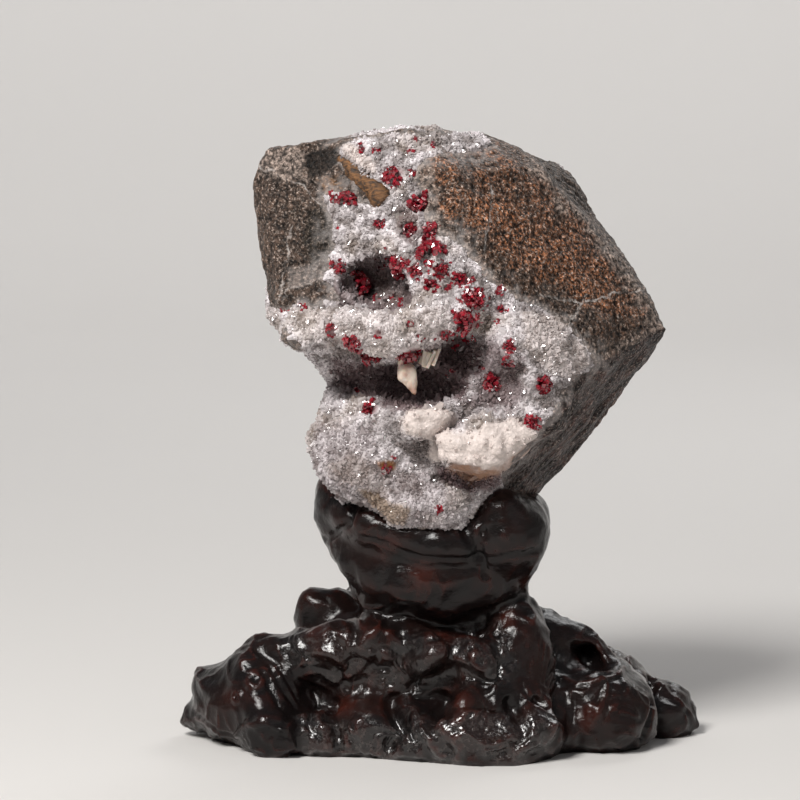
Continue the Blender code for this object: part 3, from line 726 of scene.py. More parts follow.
crust = {"margin": -1.5 * mm, "full": 1.6 * mm, "dive": 1.5 * mm, "rise": 0.2 * mm, "wall": 1.7 * mm,
         "lumps": ((1.3, 8.5, 41), (0.55, 3.8, 42), (0.25, 1.6, 43)),  # height in mm, size in mm, seed
         "clumps": ((1.4, 6.0, 43), (0.6, 2.6, 44)), "creamRise": 1.3 * mm, "creamGrain": 0.25 * mm,
         "greySink": 0.8 * mm, "patchSink": 0.3 * mm, "bandRise": 0.9 * mm, "shelfRise": 1.1 * mm,
         "cavityReach": 28 * mm, "raisedFull": 0.45 * mm, "clearing": 1.2 * mm}

lift = sum(height * mm * skinNoise(size, seed) for height, size, seed in crust["lumps"])
puffy = 0.45 + 0.55 * np.clip(zones["shelf"] + zones["band"] + zones["shoulder"] + smoothStep(
    skinNoise(15, 48), 0.1, 0.5), 0, 1)
lift += puffy * sum(height * mm * (clumps(skin, size, seed) - 0.55) for height, size, seed in crust["clumps"])
cream = zones["cream"]
plates = np.abs(latticeNoise(skin * np.array((1, 1, 1.6)), 4.2, 45))
steps = np.abs(latticeNoise(skin * np.array((1, 1, 1.8)), 2.4, 47))
lift = lift * (1 - 0.3 * cream) + cream * (
    crust["creamRise"] * (0.2 + 1.5 * plates + 0.7 * steps) + crust["creamGrain"] * skinNoise(1.3, 46))
lift -= zones["greyPatch"] * crust["greySink"] + zones["darkPatch"] * crust["patchSink"]
lift *= 1 - 0.4 * np.maximum.reduce([zones["upperHollow"], zones["wideHollow"], zones["pocket"]])
lift += zones["band"] * crust["bandRise"] + zones["shelf"] * crust["shelfRise"]
rim = smoothStep(inCrust, crust["margin"], crust["full"])
lift = lift * rim - crust["dive"] * (1 - rim) + crust["rise"] * rim - deepened
crustPoints = skin + normals * lift[:, None]
crustPoints = crustPoints + (evened(crustPoints, faces, 1) - crustPoints) * 0.5

kept = (inCrust[faces] > crust["margin"]).all(axis=1)
cavity = evened(cavityShare(skin, normals, tree, crust["cavityReach"], np.flatnonzero(
    inCrust > crust["margin"])), faces, 3)
# hollowness and hiddenIn mark the drawn hollows and the unseen cavities: there the crust gets the dark smoky colour
# as painted shade, and big crystals crowd in.
hollowness = np.maximum.reduce([zones["upperHollow"] * 0.62, zones["wideHollow"] * 0.95, zones["pocket"]])
hiddenIn = away * smoothStep(cavity, 0.4, 0.75)
cinnabarNames = sorted(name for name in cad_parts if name.startswith("cinnabar_"))
clusters = []
closeness = np.full(len(skin), -1.0)  # 1 in the middle of a cinnabar cluster
for name in cinnabarNames:
    low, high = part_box(name)
    centre, radius = (low + high) / 2, max(high.x - low.x, high.z - low.z) / 2
    clusters.append((centre, radius))
    seat = np.array(tree.find_nearest(centre)[0])
    closeness = np.maximum(closeness, 1 - np.linalg.norm(skin - seat, axis=1) / (radius + crust["clearing"]))
bare = np.clip(0.95 * cream + 0.9 * zones["rod"] + zones["chip"] + 0.9 * zones["darkPatch"] + zones["creamRim"], 0, 1)
crustMasks = {
    # raised: the crust's painted light on raised places and painted shade in its creases.
    "raised": raisedShare(crustPoints, faces, 6, crust["raisedFull"]),
    # The smoky mask: grey smoky quartz where drawn at the right, on the grey patch and on the foot, and painted shade
    # in the hollows and unseen cavities.
    "smoky": np.clip(hollowness + zones["smokyRight"] * 0.75 + 0.8 * hiddenIn + zones["greyPatch"] * 0.6
                     + zones["greyFoot"] * 0.3, 0, 1),
    "cream": (1 - zones["creamRim"]) * np.clip(
        cream + 0.8 * zones["band"] + 0.35 * zones["shelf"] + 0.5 * zones["shoulder"], 0, 1),
    "rim": zones["creamRim"] * (0.7 + 0.3 * smoothStep(skinNoise(2.6, 49), -0.3, 0.3)),
    "limonite": np.clip(zones["chip"] + 0.5 * zones["tint"], 0, 1), "rock": zones["darkPatch"],
    "tan": np.clip(zones["tanFoot"] + 0.3 * smoothStep(skinNoise(8, 50), 0.0, 0.6), 0, 1),
    "stain": 0.7 * smoothStep(closeness, 0.25, 0.55) * smoothStep(seen, 0.2, 0.6),
    "crowding": smoothStep(inCrust, -0.3 * mm, 1.0 * mm) * (1 - bare) * (1 - smoothStep(closeness, 0.0, 0.3)),
    "deep": np.clip(hollowness + hiddenIn, 0, 1) * smoothStep(cavity, 0.15, 0.5),
}
used = np.unique(faces[kept])
number = np.full(len(skin), -1)
number[used] = np.arange(len(used))
shell = meshOf("quartzCrust", crustPoints[used], number[faces[kept]],
               {label: values[used] for label, values in crustMasks.items()})
shellHolder = linked("shell", shell)
crustTree = BVHTree.FromPolygons([tuple(v.co) for v in shell.vertices], [tuple(f.vertices) for f in shell.polygons])
wall = shellHolder.modifiers.new("wall", "SOLIDIFY")
wall.thickness, wall.offset = crust["wall"], -1.0
crustMesh = result(shellHolder)
shellHolder.modifiers.clear()
pieceOf("quartzCrust", crustMesh, crustMaterial, replaces=["quartz_crust"])
report(f"quartz crust, {len(crustMesh.polygons) * 2} triangles")

# Quartz points scattered over the crust, by Geometry Nodes.

druse = {
    "druseFineA": {"Crowding": "crowding", "Density": 0.8e6, "Smallest": 0.75 * mm, "Largest": 1.6 * mm,
                   "Slimness": 0.6, "Lean": 0.6, "Seed": 3},
    "druseFineB": {"Crowding": "crowding", "Density": 0.8e6, "Smallest": 0.75 * mm, "Largest": 1.6 * mm,
                   "Slimness": 0.6, "Lean": 0.7, "Seed": 41},
    "druseBold": {"Crowding": "crowding", "Density": 0.25e6, "Smallest": 1.3 * mm, "Largest": 2.8 * mm,
                  "Slimness": 0.65, "Lean": 0.7, "Seed": 17},
    "druseDeep": {"Crowding": "deep", "Density": 0.14e6, "Smallest": 1.4 * mm, "Largest": 3.2 * mm,
                  "Slimness": 0.9, "Lean": 0.6, "Seed": 29},
}


def scatterTree():  # points where the named attribute crowds them, a blunt five-sided crystal on each
    tree = bpy.data.node_groups.new("scatterPoints", "GeometryNodeTree")
    for label, kind in (("Surface", "Geometry"), ("Crowding", "String"), ("Density", "Float"), ("Smallest", "Float"),
                        ("Largest", "Float"), ("Slimness", "Float"), ("Lean", "Float"), ("Seed", "Int"),
                        ("Finish", "Material")):
        tree.interface.new_socket(label, in_out="INPUT", socket_type="NodeSocket" + kind)
    tree.interface.new_socket("Crystals", in_out="OUTPUT", socket_type="NodeSocketGeometry")
    put = wiring(tree)
    entry = tree.nodes.new("NodeGroupInput").outputs

    def random(low, high, shift):
        return put("FunctionNodeRandomValue", {2: low, 3: high, "Seed": plus(put, entry["Seed"], shift)}, out=1)

    crowding = put("GeometryNodeInputNamedAttribute", {"Name": entry["Crowding"]}, data_type="FLOAT")
    spread = tree.nodes.new("GeometryNodeDistributePointsOnFaces")
    spread.distribute_method = "RANDOM"
    tree.links.new(entry["Surface"], spread.inputs["Mesh"])
    tree.links.new(times(put, crowding, entry["Density"]), spread.inputs["Density"])
    tree.links.new(entry["Seed"], spread.inputs["Seed"])
    shape = put("GeometryNodeMeshCone", {"Vertices": 5, "Radius Top": 0.2, "Radius Bottom": 0.5, "Depth": 1.0},
                fill_type="NGON")
    shape = put("GeometryNodeTransform", {"Geometry": shape, "Translation": (0.0, 0.0, -0.3)})
    size = between(put, sums(put, "POWER", random(0.0, 1.0, 1), 2.0), entry["Smallest"], entry["Largest"])
    tall = times(put, size, times(put, entry["Slimness"], random(0.7, 1.5, 2)))
    wide = times(put, size, random(0.75, 1.2, 3))
    placed = put("GeometryNodeInstanceOnPoints", {
        "Points": spread.outputs["Points"], "Instance": shape, "Rotation": spread.outputs["Rotation"],
        "Scale": put("ShaderNodeCombineXYZ", {"X": wide, "Y": size, "Z": tall})})
    lean = [times(put, random(-1.0, 1.0, shift), entry["Lean"]) for shift in (4, 5)]
    turned = put("GeometryNodeRotateInstances", {"Instances": placed, "Rotation": put(
        "ShaderNodeCombineXYZ", {"X": lean[0], "Y": lean[1], "Z": random(0.0, math.tau, 6)})})
    toned = put("GeometryNodeStoreNamedAttribute", {"Geometry": turned, "Name": "tone", "Value": random(0.0, 1.0, 7)},
                data_type="FLOAT", domain="INSTANCE")
    real = put("GeometryNodeRealizeInstances", {"Geometry": toned})
    finished = put("GeometryNodeSetMaterial", {"Geometry": real, "Material": entry["Finish"]})
    tree.links.new(finished, tree.nodes.new("NodeGroupOutput").inputs["Crystals"])
    return tree


pointTree = scatterTree()
for name, values in druse.items():
    modifier = shellHolder.modifiers.new("scatter", "NODES")
    modifier.node_group = pointTree
    for item in pointTree.interface.items_tree:
        if item.name in values:
            modifier[item.identifier] = values[item.name]
        elif item.name == "Finish":
            modifier[item.identifier] = druseMaterial
    mesh = result(shellHolder)
    shellHolder.modifiers.clear()
    report(f"{name}, {sum(len(face.vertices) - 2 for face in mesh.polygons)} triangles")
    pieceOf(name, mesh, druseMaterial, smooth=False)
bpy.data.objects.remove(shellHolder)

# Cinnabar: one cluster for each CAD crystal, and loose grains.

cinnabar = {
    "least": 20, "perSquareMm": 4.6, "smallest": 0.2, "largest": 0.42, "spread": 1.6, "dome": 0.95, "reach": 1.25,
    "grainSize": (0.5 * mm, 1.15 * mm), "spotGrainSize": (0.5 * mm, 1.1 * mm), "perUnit": 1.1, "stray": 5,
    "perSquareUnit": 0.55,
    "grainPath": [(386, 261), (412, 262), (440, 270), (462, 285), (480, 300), (474, 318), (465, 330), (440, 335)],
    "grainSpots": [  # place on the drawing, and radius
        (333, 196, 4), (411, 173, 4), (500, 291, 5), (302, 307, 5), (286, 311, 4), (387, 469, 5), (439, 510, 5),
        (300, 214, 3), (306, 168, 4), (400, 304, 4), (417, 138, 5), (376, 150, 4), (338, 227, 2), (327, 145, 2),
        (410, 151, 3), (434, 146, 3), (484, 274, 2), (405, 265, 5), (414, 270, 6), (461, 276, 5), (471, 280, 4),
        (427, 285, 4), (436, 290, 5), (448, 288, 4), (463, 298, 5), (377, 299, 4), (542, 384, 7), (532, 421, 7),
        (367, 411, 6), (509, 348, 6), (392, 301, 4), (401, 301, 3), (410, 323, 3), (461, 330, 5), (420, 338, 4),
        (498, 323, 3), (508, 360, 4), (483, 367, 3), (374, 404, 3), (357, 392, 4), (451, 373, 5), (457, 349, 5),
        (471, 339, 5), (393, 457, 2), (514, 479, 3), (418, 205, 6), (424, 196, 4), (426, 240, 4), (445, 273, 5)]}
rhombic = Matrix(((1, 0.28, 0.2, 0), (0, 1, 0.25, 0), (0, 0, 1, 0), (0, 0, 0, 1)))


def crystalBlock(whole, toneLayer, place, normal, size, dice):  # one stubby rhombic crystal on the surface
    made = bmesh.ops.create_cube(whole, size=1.0)["verts"]
    turn = Vector(normal).to_track_quat("Z", "Y").to_matrix().to_4x4()
    spin = Euler(dice.uniform(-0.9, 0.9, 3)).to_matrix().to_4x4() @ Matrix.Rotation(dice.uniform(0, math.tau), 4, "Z")
    shape = Matrix.Diagonal((*(size * dice.uniform(0.7, 1.25, 2)), size * dice.uniform(0.8, 1.5), 1))
    bmesh.ops.transform(whole, verts=made, matrix=Matrix.Translation(
        Vector(place) + Vector(normal) * size * 0.18) @ turn @ spin @ shape @ rhombic)
    tone = dice.uniform()
    for v in made:
        v[toneLayer] = tone


def cinnabarCluster(whole, toneLayer, centre, radius, dice):  # a low dome of crystals
    base, normal, _, _ = crustTree.find_nearest(centre)
    across = normal.orthogonal().normalized()
    beside = normal.cross(across)
    for _ in range(int(cinnabar["least"] + cinnabar["perSquareMm"] * (radius / mm) ** 2)):
        lean = dice.uniform() ** 0.8 * cinnabar["spread"]
        turn = dice.uniform(0, math.tau)
        flat = (across * math.cos(turn) + beside * math.sin(turn)) * math.sin(lean)
        place = base + (flat + normal * math.cos(lean) * cinnabar["dome"]) * radius * cinnabar["reach"]
        outward = (flat + normal * math.cos(lean)).normalized()
        size = radius * dice.uniform(cinnabar["smallest"], cinnabar["largest"])
        crystalBlock(whole, toneLayer, place - outward * size * 0.3, outward, size, dice)


def looseGrain(whole, toneLayer, spot, sizes, dice):
    place, normal = touched(crustTree, spot)
    if place is not None:
        crystalBlock(whole, toneLayer, place, normal, dice.uniform(*sizes), dice)


def looseGrains(whole, toneLayer, dice):
    path = cinnabar["grainPath"]
    for (ax, ay), (bx, by) in zip(path[:-1], path[1:]):
        for _ in range(int(math.hypot(bx - ax, by - ay) * cinnabar["perUnit"])):
            share = dice.uniform()
            spot = (ax + (bx - ax) * share + dice.normal() * cinnabar["stray"],
                    ay + (by - ay) * share + dice.normal() * cinnabar["stray"])
            looseGrain(whole, toneLayer, spot, cinnabar["grainSize"], dice)
    for x, y, radius in cinnabar["grainSpots"]:
        for _ in range(2 + int(radius ** 2 * cinnabar["perSquareUnit"])):
            turn, reach = dice.uniform(0, math.tau), radius * math.sqrt(dice.uniform())
            looseGrain(whole, toneLayer, (x + math.cos(turn) * reach, y + math.sin(turn) * reach),
                       cinnabar["spotGrainSize"], dice)


def cinnabarPiece(name, build, replaces=()):
    whole = bmesh.new()
    build(whole, whole.verts.layers.float.new("tone"))
    pieceOf(name, meshFrom(whole, name), cinnabarMaterial, smooth=False, replaces=replaces)


for k, (name, (centre, radius)) in enumerate(zip(cinnabarNames, clusters)):
    cinnabarPiece(name.replace("cinnabar_", "cinnabarCluster"), lambda whole, tone: cinnabarCluster(
        whole, tone, centre, radius, np.random.default_rng(100 + k)), replaces=[name])
cinnabarPiece("cinnabarGrains", lambda whole, tone: looseGrains(whole, tone, np.random.default_rng(7)))
report("cinnabar")

# Calcite: the hanging tooth and the blades beside it.

calcite = {"voxel": 0.3 * mm, "swell": 0.6 * mm, "growth": 0.34 * mm, "fine": 0.17 * mm, "rounds": 9,
           "toothShift": (1.2 * mm, 0.0, 1.3 * mm), "blades": 4, "bladeSize": 6.2 * mm, "bladeBevel": 0.09 * mm,
           "bladeShift": (0.0, -4.2, 0.2), "bladeStep": (1.25, -0.3), "bladeWidth": (0.9 * mm, 1.7 * mm)}

tooth, toothFaces = voxelSkin(closedCopy("calcite_tooth"), calcite["voxel"])
tooth = evened(tooth, toothFaces, calcite["rounds"])
toothRelief = calcite["swell"] + calcite["growth"] * (latticeNoise(tooth, 2.4, 51) - np.abs(
    latticeNoise(tooth * np.array((1, 1, 0.5)), 1.5, 52))) + calcite["fine"] * latticeNoise(tooth, 0.8, 53)
lowest, highest = tooth[:, 2].min(), tooth[:, 2].max()
# Browner towards the hanging tip.
stained = 0.8 * smoothStep((highest - tooth[:, 2]) / (highest - lowest), 0.55, 1.0)
toothPoints = tooth + np.array(calcite["toothShift"]) + normalsOf(tooth, toothFaces) * toothRelief[:, None]
pieceOf("calciteTooth", meshOf("calciteTooth", toothPoints, toothFaces, {"stained": stained}), calciteMaterial,
        replaces=["calcite_tooth"])

dice = np.random.default_rng(21)
low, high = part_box("calcite_rhomb")
bladeSeat = (low + high) / 2 + Vector(calcite["bladeShift"]) * mm
bladeShear = Matrix(((1, 0, 0.12, 0), (0, 1, 0.25, 0), (0, 0, 1, 0), (0, 0, 0, 1)))
blades = bmesh.new()
for k in range(calcite["blades"]):
    made = bmesh.ops.create_cube(blades, size=1.0)["verts"]
    size = calcite["bladeSize"] * dice.uniform(0.75, 1.05)
    aside, back = calcite["bladeStep"]
    place = bladeSeat + Vector(((k - 1.5) * aside, back * k, dice.uniform(-0.9, 0.9))) * mm
    lean = Euler((dice.uniform(-0.25, 0.25), 0.25 + dice.uniform(-0.2, 0.2), dice.uniform(0.0, 0.5)))
    shape = Matrix.Diagonal((dice.uniform(*calcite["bladeWidth"]), size * 0.8, size * 0.9, 1))
    bmesh.ops.transform(blades, verts=made, matrix=Matrix.Translation(place) @ lean.to_matrix().to_4x4()
                        @ bladeShear @ shape)
bmesh.ops.bevel(blades, geom=blades.edges[:], offset=calcite["bladeBevel"], segments=1, affect="EDGES")
pieceOf("calciteBlades", meshFrom(blades, "calciteBlades"), calciteMaterial, smooth=False,
        replaces=["calcite_rhomb"])

# The limonite rod, a rough prism that lies in the crust.

rod = {"from": (338, 159), "to": (384, 201), "radius": 3.0 * mm, "sink": 0.9 * mm, "sides": 14, "rings": 60,
       "widths": (0.7, 0.85, 1.0, 0.9, 0.95, 1.2, 1.45, 1.0), "squeeze": 0.85,
       "lumps": (0.5 * mm, 3.0, 55), "fine": (0.22 * mm, 1.1, 56)}

ends = []
for key in ("from", "to"):
    place, normal = touched(crustTree, rod[key])
    if place is None:
        place, normal = touched(tree, rod[key])
    ends.append(place - normal * rod["sink"])
axis = ends[1] - ends[0]
along = axis / np.linalg.norm(axis)
side = np.cross(along, (0.0, 0.0, 1.0))
side /= np.linalg.norm(side)
other = np.cross(along, side)
sides, rings = rod["sides"], rod["rings"]
rodPoints, rodFaces = [ends[0]], []
for ring in range(rings):
    share = ring / (rings - 1)
    width = rod["radius"] * np.interp(share, np.linspace(0, 1, len(rod["widths"])), rod["widths"])
    rodPoints += [ends[0] + axis * share + width * (side * math.cos(turn) * rod["squeeze"] + other * math.sin(turn))
                  for turn in np.arange(sides) * math.tau / sides]
rodPoints = np.array(rodPoints + [ends[1]])
for k in range(sides):
    step, last = (k + 1) % sides, 1 + (rings - 1) * sides
    rodFaces.append((0, 1 + step, 1 + k))
    rodFaces += [(a + k, a + step, a + sides + step, a + sides + k) for a in range(1, last, sides)]
    rodFaces.append((last + k, last + step, len(rodPoints) - 1))
outward = rodPoints - ends[0] - np.outer((rodPoints - ends[0]) @ along, along)
outward /= np.maximum(np.linalg.norm(outward, axis=1, keepdims=True), 1e-6)
rough = sum(height * latticeNoise(rodPoints, size, seed) for height, size, seed in (rod["lumps"], rod["fine"]))
rodMesh = bpy.data.meshes.new("limoniteRod")
rodMesh.from_pydata((rodPoints + outward * rough[:, None]).tolist(), [], rodFaces)
whole = bmesh.new()
whole.from_mesh(rodMesh)
bmesh.ops.recalc_face_normals(whole, faces=whole.faces[:])
pieceOf("limoniteRod", meshFrom(whole, "limoniteRod"), limoniteMaterial)
report("calcite and limonite")

# Root-wood stand.

stand = {"voxel": 0.84 * mm, "smoothing": 8, "growth": 0.25 * mm, "swell": 0.35 * mm, "folds": 0.9 * mm,
         "skinNoise": 0.2 * mm, "burl": 1.3 * mm, "cupBurl": 0.3 * mm, "wrinkles": 1.0 * mm, "bend": 1.7 * mm,
         "rimRounds": 40, "rimSwell": 2.0 * mm, "coarseNoise": 0.55 * mm, "pits": 0.9 * mm, "crumbs": 0.8 * mm,
         "rimLumps": 1.7 * mm, "lumpyNoise": 0.6 * mm, "knot": 0.5 * mm, "knotReach": 1.7, "knotRings": 2.6,
         "cupFrom": 52 * mm, "cupTo": 64 * mm, "flatBelow": 0.7 * mm, "raisedFull": 0.35 * mm}
grooves = [  # drawn path, reach and depth in mm
    ([(363, 538), (384, 544), (406, 553), (427, 558), (456, 559), (477, 559), (502, 558), (527, 553), (540, 550)],
     1.8, 0.6),
    ([(484, 532), (480, 545), (481, 559), (484, 564), (482, 577)], 1.8, 1.1),
    ([(461, 520), (466, 532), (474, 547), (478, 559)], 3.5, 1.8),
    ([(356, 506), (349, 524), (331, 538), (318, 540)], 2.0, 1.1),
    ([(191, 713), (209, 722), (227, 732), (236, 736)], 1.3, 0.8),
    ([(268, 670), (277, 684), (288, 699), (295, 708)], 1.3, 0.9), ([(277, 670), (286, 684), (295, 699)], 1.3, 0.9),
    ([(261, 675), (270, 691), (277, 704)], 1.3, 0.9),
    *[([(x, y), (x + lean * 0.4, y + 22), (x + lean, y + length)], 0.85, 0.5) for x, y, lean, length in (
        (517, 655, 8, 38), (521, 650, 7, 50), (525, 647, 6, 30), (529, 650, 5, 48), (533, 646, 3, 54),
        (537, 649, 1, 36), (541, 645, -1, 50), (545, 648, -3, 44), (550, 646, -6, 52), (555, 650, -9, 34),
        (560, 655, -12, 40), (600, 690, -8, 30), (612, 688, -9, 34), (624, 684, -10, 30), (575, 695, -4, 26))],
    ([(536, 702), (537, 706)], 3.5, 3.0), ([(590, 659), (592, 663)], 5.0, 5.0),
    ([(650, 681), (649, 699), (645, 720), (641, 738)], 2.5, 2.2),
    ([(559, 681), (554, 699), (549, 720), (549, 741)], 3.0, 1.4),
    ([(330, 640), (352, 660), (380, 668), (402, 662)], 2.6, 1.2), ([(420, 700), (441, 694), (456, 700)], 2.0, 1.0),
    ([(336, 702), (330, 722), (338, 746)], 3.4, 2.3), ([(390, 698), (396, 722), (387, 750)], 3.4, 2.3),
    ([(446, 700), (440, 724), (450, 752)], 3.4, 2.3), ([(510, 704), (518, 728), (511, 754)], 3.4, 2.3),
]
ridges = [
    ([(565, 679), (577, 684), (599, 681), (616, 674), (631, 665)], 2.2, 1.2),
    ([(652, 684), (670, 699), (688, 716), (699, 731)], 2.0, 1.0), ([(366, 627), (374, 627)], 6.0, 1.5),
    ([(416, 663), (434, 656), (449, 663)], 6.0, 1.8), ([(461, 702), (465, 720)], 4.0, 2.3),
    ([(502, 704), (507, 704)], 4.0, 1.4), ([(360, 708), (368, 716)], 9.0, 2.6), ([(414, 706), (422, 714)], 8.0, 2.6),
    ([(478, 706), (486, 714)], 8.0, 2.6), ([(536, 704), (540, 716)], 9.0, 2.8), ([(312, 708), (318, 714)], 7.0, 2.2),
    ([(552, 730), (554, 744)], 7.0, 2.2), ([(238, 734), (247, 724), (265, 722), (284, 731), (295, 752)], 1.6, 1.0),
    ([(360, 640), (384, 632), (402, 640)], 2.2, 0.8), ([(300, 650), (330, 655), (352, 672)], 2.4, 0.9),
]
knots = [(478, 659, 3.0), (256, 681, 3.0), (238, 652, 2.0), (491, 752, 3.0), (240, 695, 2.2), (384, 682, 2.2),
         (430, 733, 2.2), (357, 727, 2.4), (529, 735, 2.0), (505, 680, 1.8)]
rimZone = [(295, 716), (341, 720), (420, 716), (491, 714), (545, 716), (549, 752), (502, 765), (420, 758),
           (306, 758), (295, 741)]
ridgeZone = [(288, 640), (331, 634), (384, 642), (456, 627), (513, 627), (518, 684), (456, 691), (384, 690),
             (313, 682), (288, 666)]
tintSpots = [(391, 552, 20), (491, 550, 14), (241, 695, 14), (313, 638, 16), (509, 620, 14), (452, 640, 12),
             (345, 706, 16), (590, 715, 16), (420, 575, 22), (522, 586, 14)]

wood, woodFaces = voxelSkin(closedCopy("wood_stand"), stand["voxel"])
wood = evened(wood, woodFaces, stand["smoothing"])
woodNormals = normalsOf(wood, woodFaces)
woodTree = treeOf(wood, woodFaces)
woodSpots = drawnAt(wood)


def woodNoise(size, seed):
    return latticeNoise(wood, size, seed)


def drift(size, seed):  # noise for each of the three directions
    return np.column_stack([woodNoise(size, seed + k) for k in range(3)])


fromFront = smoothStep(frontness(wood, woodNormals), -0.1, 0.25)
wander = 9 * woodNoise(7, 60) + 5 * woodNoise(3, 59)
coarse, lumpy = [smoothStep(insideBy(woodSpots, outline) + wander, -5, 7) * fromFront
                 for outline in (rimZone, ridgeZone)]
softened = evened(wood, woodFaces, stand["rimRounds"])
wood = wood + (softened - wood) * (0.95 * coarse * smoothStep(wood[:, 2], 2 * mm, 6 * mm))[:, None]
height = wood[:, 2]
cupShare = smoothStep(height, stand["cupFrom"], stand["cupTo"])
behind = (1 - fromFront) * (1 - cupShare)
coarse = np.maximum(coarse, behind * smoothStep(-height, -14 * mm, -6 * mm) * 0.8)
lumpy = np.maximum(lumpy, behind * 0.7)

bend = drift(13, 81) + 0.4 * drift(6, 84)
bend *= (stand["bend"] * (1 - 0.7 * cupShare) * (1 + 1.3 * np.maximum(coarse, 0.5 * lumpy))
         * smoothStep(height, 0.5 * mm, 9 * mm))[:, None]
folds = 1 - 2 * np.abs(latticeNoise(wood * np.array((1.0, 1.0, 0.45)), 11, 61)) ** 0.8
burl = clumps(wood, 9, 71) - 0.5
wrinkles = (1 - np.abs(latticeNoise(wood + 3.5 * mm * drift(8, 75), 5.5, 78))) ** 4 - 0.25
pits = smoothStep(woodNoise(2.6, 69), 0.52, 0.85)
shape = stand["growth"] + stand["swell"] * woodNoise(15, 62)
shape += stand["folds"] * (0.25 + 0.75 * behind) * folds * (1 - 0.75 * cupShare)
shape += stand["burl"] * burl * (1 - cupShare) * (0.5 + 0.5 * woodNoise(20, 72)) + stand["cupBurl"] * cupShare * burl
shape += stand["wrinkles"] * wrinkles * (1 - 0.7 * cupShare) * (0.6 + 0.5 * woodNoise(16, 79))
shape += stand["skinNoise"] * (woodNoise(3.6, 63) + 0.5 * woodNoise(1.7, 64))
shape += coarse * stand["coarseNoise"] * (woodNoise(3.4, 65) + 0.8 * woodNoise(1.8, 66))
shape += (coarse + 0.7 * lumpy) * stand["crumbs"] * (clumps(wood, 4.5, 73) - 0.5)
shape += coarse * stand["rimLumps"] * (clumps(wood * np.array((1, 1, 0.7)), 8.5, 80) - 0.5)
shape += coarse * stand["rimSwell"] * woodNoise(10, 90)
shape += lumpy * stand["lumpyNoise"] * (woodNoise(4.6, 67) + 0.6 * woodNoise(2.2, 68))
shape -= np.clip(coarse + 0.6 * lumpy, 0, 1) * pits * stand["pits"]
for sign, strokes in ((-1, grooves), (1, ridges)):
    for line, reach, depth in strokes:
        path = pathOn(woodTree, line)
        if path:
            path = path * 2 if len(path) == 1 else path
            shape += sign * depth * mm * strokeShare(wood, path, reach * mm) * fromFront
for x, y, radius in knots:
    place, _ = touched(woodTree, (x, y))
    if place is not None:
        gap = np.linalg.norm(wood - place, axis=1) / (radius * mm * stand["knotReach"])
        ring = np.where(gap < 1, np.cos(np.clip(gap, 0, 1) * stand["knotRings"] * math.pi) * (1 - gap ** 2), 0)
        shape -= stand["knot"] * ring * (radius / 3) * (1.2 + 0.5 * woodNoise(2.2, 74))
atFloor = smoothStep(height, 0.3 * mm, 3 * mm)
woodPoints = wood + bend + woodNormals * (shape * (0.15 + 0.85 * atFloor))[:, None]
underside = (woodPoints[:, 2] < stand["flatBelow"]) & (woodNormals[:, 2] < -0.3)
woodPoints[:, 2] = np.where(underside, 0.0, np.maximum(woodPoints[:, 2], 0.0))
# The tint mask: reddish on the unseen faces by noise, and at the spots given on the front view.
tint = (1 - fromFront) * smoothStep(woodNoise(18, 70), 0.2, 0.6)
for x, y, reach in tintSpots:
    gap = np.hypot(woodSpots[:, 0] - x, woodSpots[:, 1] - y) / reach
    tint = np.maximum(tint, smoothStep(-gap, -1.2, -0.2) * fromFront)
woodMasks = {"raised": raisedShare(woodPoints, woodFaces, 4, stand["raisedFull"]), "tint": tint * 0.6,
             "coarse": np.clip(coarse + 0.6 * lumpy, 0, 1)}
pieceOf("rootStand", meshOf("rootStand", woodPoints, woodFaces, woodMasks), woodMaterial,
        replaces=["wood_stand"])
report(f"stand, {len(woodFaces) * 2} triangles")

# Floor, light and camera.

studio = {"world": (0.80, 0.82, 0.86, 1.0), "worldStrength": 0.2, "flat": 1.6, "bend": 1.0, "top": 1.7,
          "around": 96, "bendRows": 12, "aim": (-0.005, 0.0, 0.11), "backdropAim": (0.0, 3.0, 1.0)}
lamps = [  # name, place, size, watts, colour
    ("key", (-0.46, -0.76, 0.98), (0.40, 0.40), 17.5, (1.0, 0.985, 0.96)),
    ("fill", (0.9, -1.2, 0.75), (0.7, 0.7), 0.5, (0.93, 0.96, 1.0)),
    ("rimLight", (0.45, 0.85, 0.95), (0.4, 0.4), 2.6, (1.0, 1.0, 1.0)),
    ("backdrop", (0.0, 1.0, 2.0), (2.0, 0.5), 30.0, (1.0, 1.0, 1.0)),
]
floorTints = palette(pale=(0.72, 0.70, 0.68), mottle=(0.6, 0.58, 0.56))


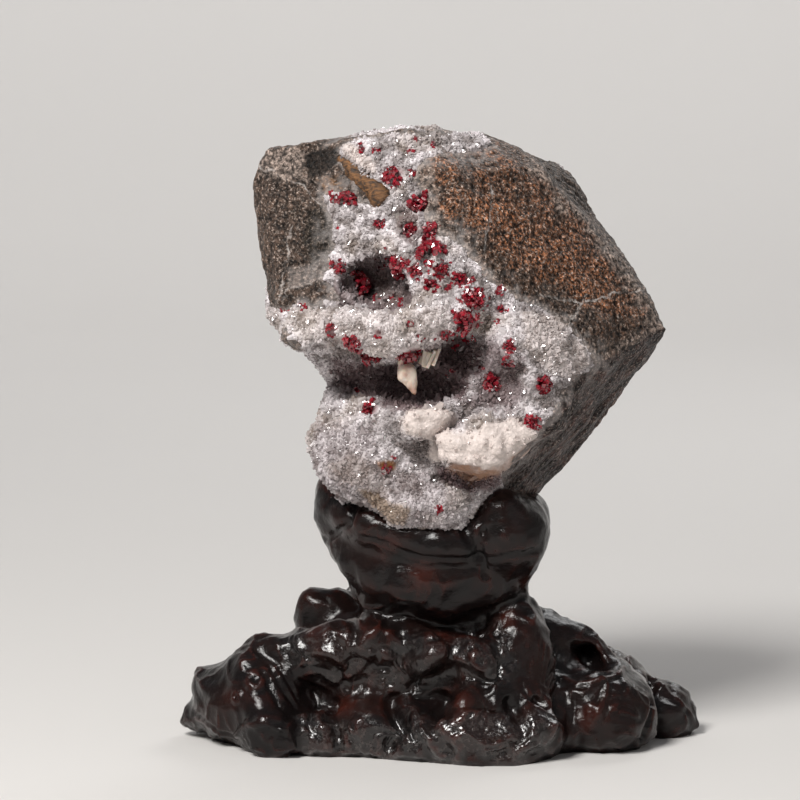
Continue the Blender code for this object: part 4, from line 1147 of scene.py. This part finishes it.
def floorWires(put, place):
    mottle = ranged(put, noise(put, place, 3.0, 3.0), 0.3, 0.7, 0.0, 0.06)
    return {"Base Color": blended(put, mottle, floorTints["pale"], floorTints["mottle"]), "Roughness": 0.9,
            "Specular IOR Level": 0.15}


around, flat, bend = studio["around"], studio["flat"], studio["bend"]
profile = [(flat * k / 3, 0.0) for k in range(1, 4)]  # from the middle outwards, then up
profile += [(flat + bend * math.sin(turn), bend * (1 - math.cos(turn)))
            for turn in np.arange(1, studio["bendRows"] + 1) * math.pi / 2 / studio["bendRows"]]
profile.append((flat + bend, studio["top"]))
corners = [(0.0, 0.0, 0.0)] + [(reach * math.cos(k * math.tau / around), reach * math.sin(k * math.tau / around), z)
                               for reach, z in profile for k in range(around)]
dish = [(0, 1 + k, 1 + (k + 1) % around) for k in range(around)]
dish += [(a + k, a + around + k, a + around + (k + 1) % around, a + (k + 1) % around)
         for a in range(1, 1 + (len(profile) - 1) * around, around) for k in range(around)]
sweep = bpy.data.meshes.new("floor")
sweep.from_pydata(corners, [], dish)
sweep.materials.append(finishOf("paleFloor", floorWires))
sweep.shade_smooth()
floor = linked("floor", sweep)

world = bpy.data.worlds.new("studio")
scene.world = world
world.use_nodes = True
background = world.node_tree.nodes["Background"].inputs
background["Color"].default_value, background["Strength"].default_value = studio["world"], studio["worldStrength"]
for name, place, (wide, tall), watts, colour in lamps:
    lamp = bpy.data.lights.new(name, "AREA")
    lamp.shape, lamp.size, lamp.size_y, lamp.energy, lamp.color = "RECTANGLE", wide, tall, watts, colour
    holder = linked(name, lamp)
    holder.location = place
    holder.rotation_mode = "QUATERNION"
    aim = Vector(studio["backdropAim" if name == "backdrop" else "aim"])
    holder.rotation_quaternion = (aim - Vector(place)).to_track_quat("-Z", "Y")
    holder.visible_camera = False

lens = bpy.data.cameras.new("front")
lens.sensor_width, lens.lens = viewpoint["sensor"], viewpoint["lens"]
camera = linked("front", lens)
camera.location = eye
camera.rotation_mode = "QUATERNION"
camera.rotation_quaternion = Vector(forward).to_track_quat("-Z", "Y")
scene.camera = camera
scene.view_settings.view_transform = "Standard"

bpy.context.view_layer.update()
report("done")
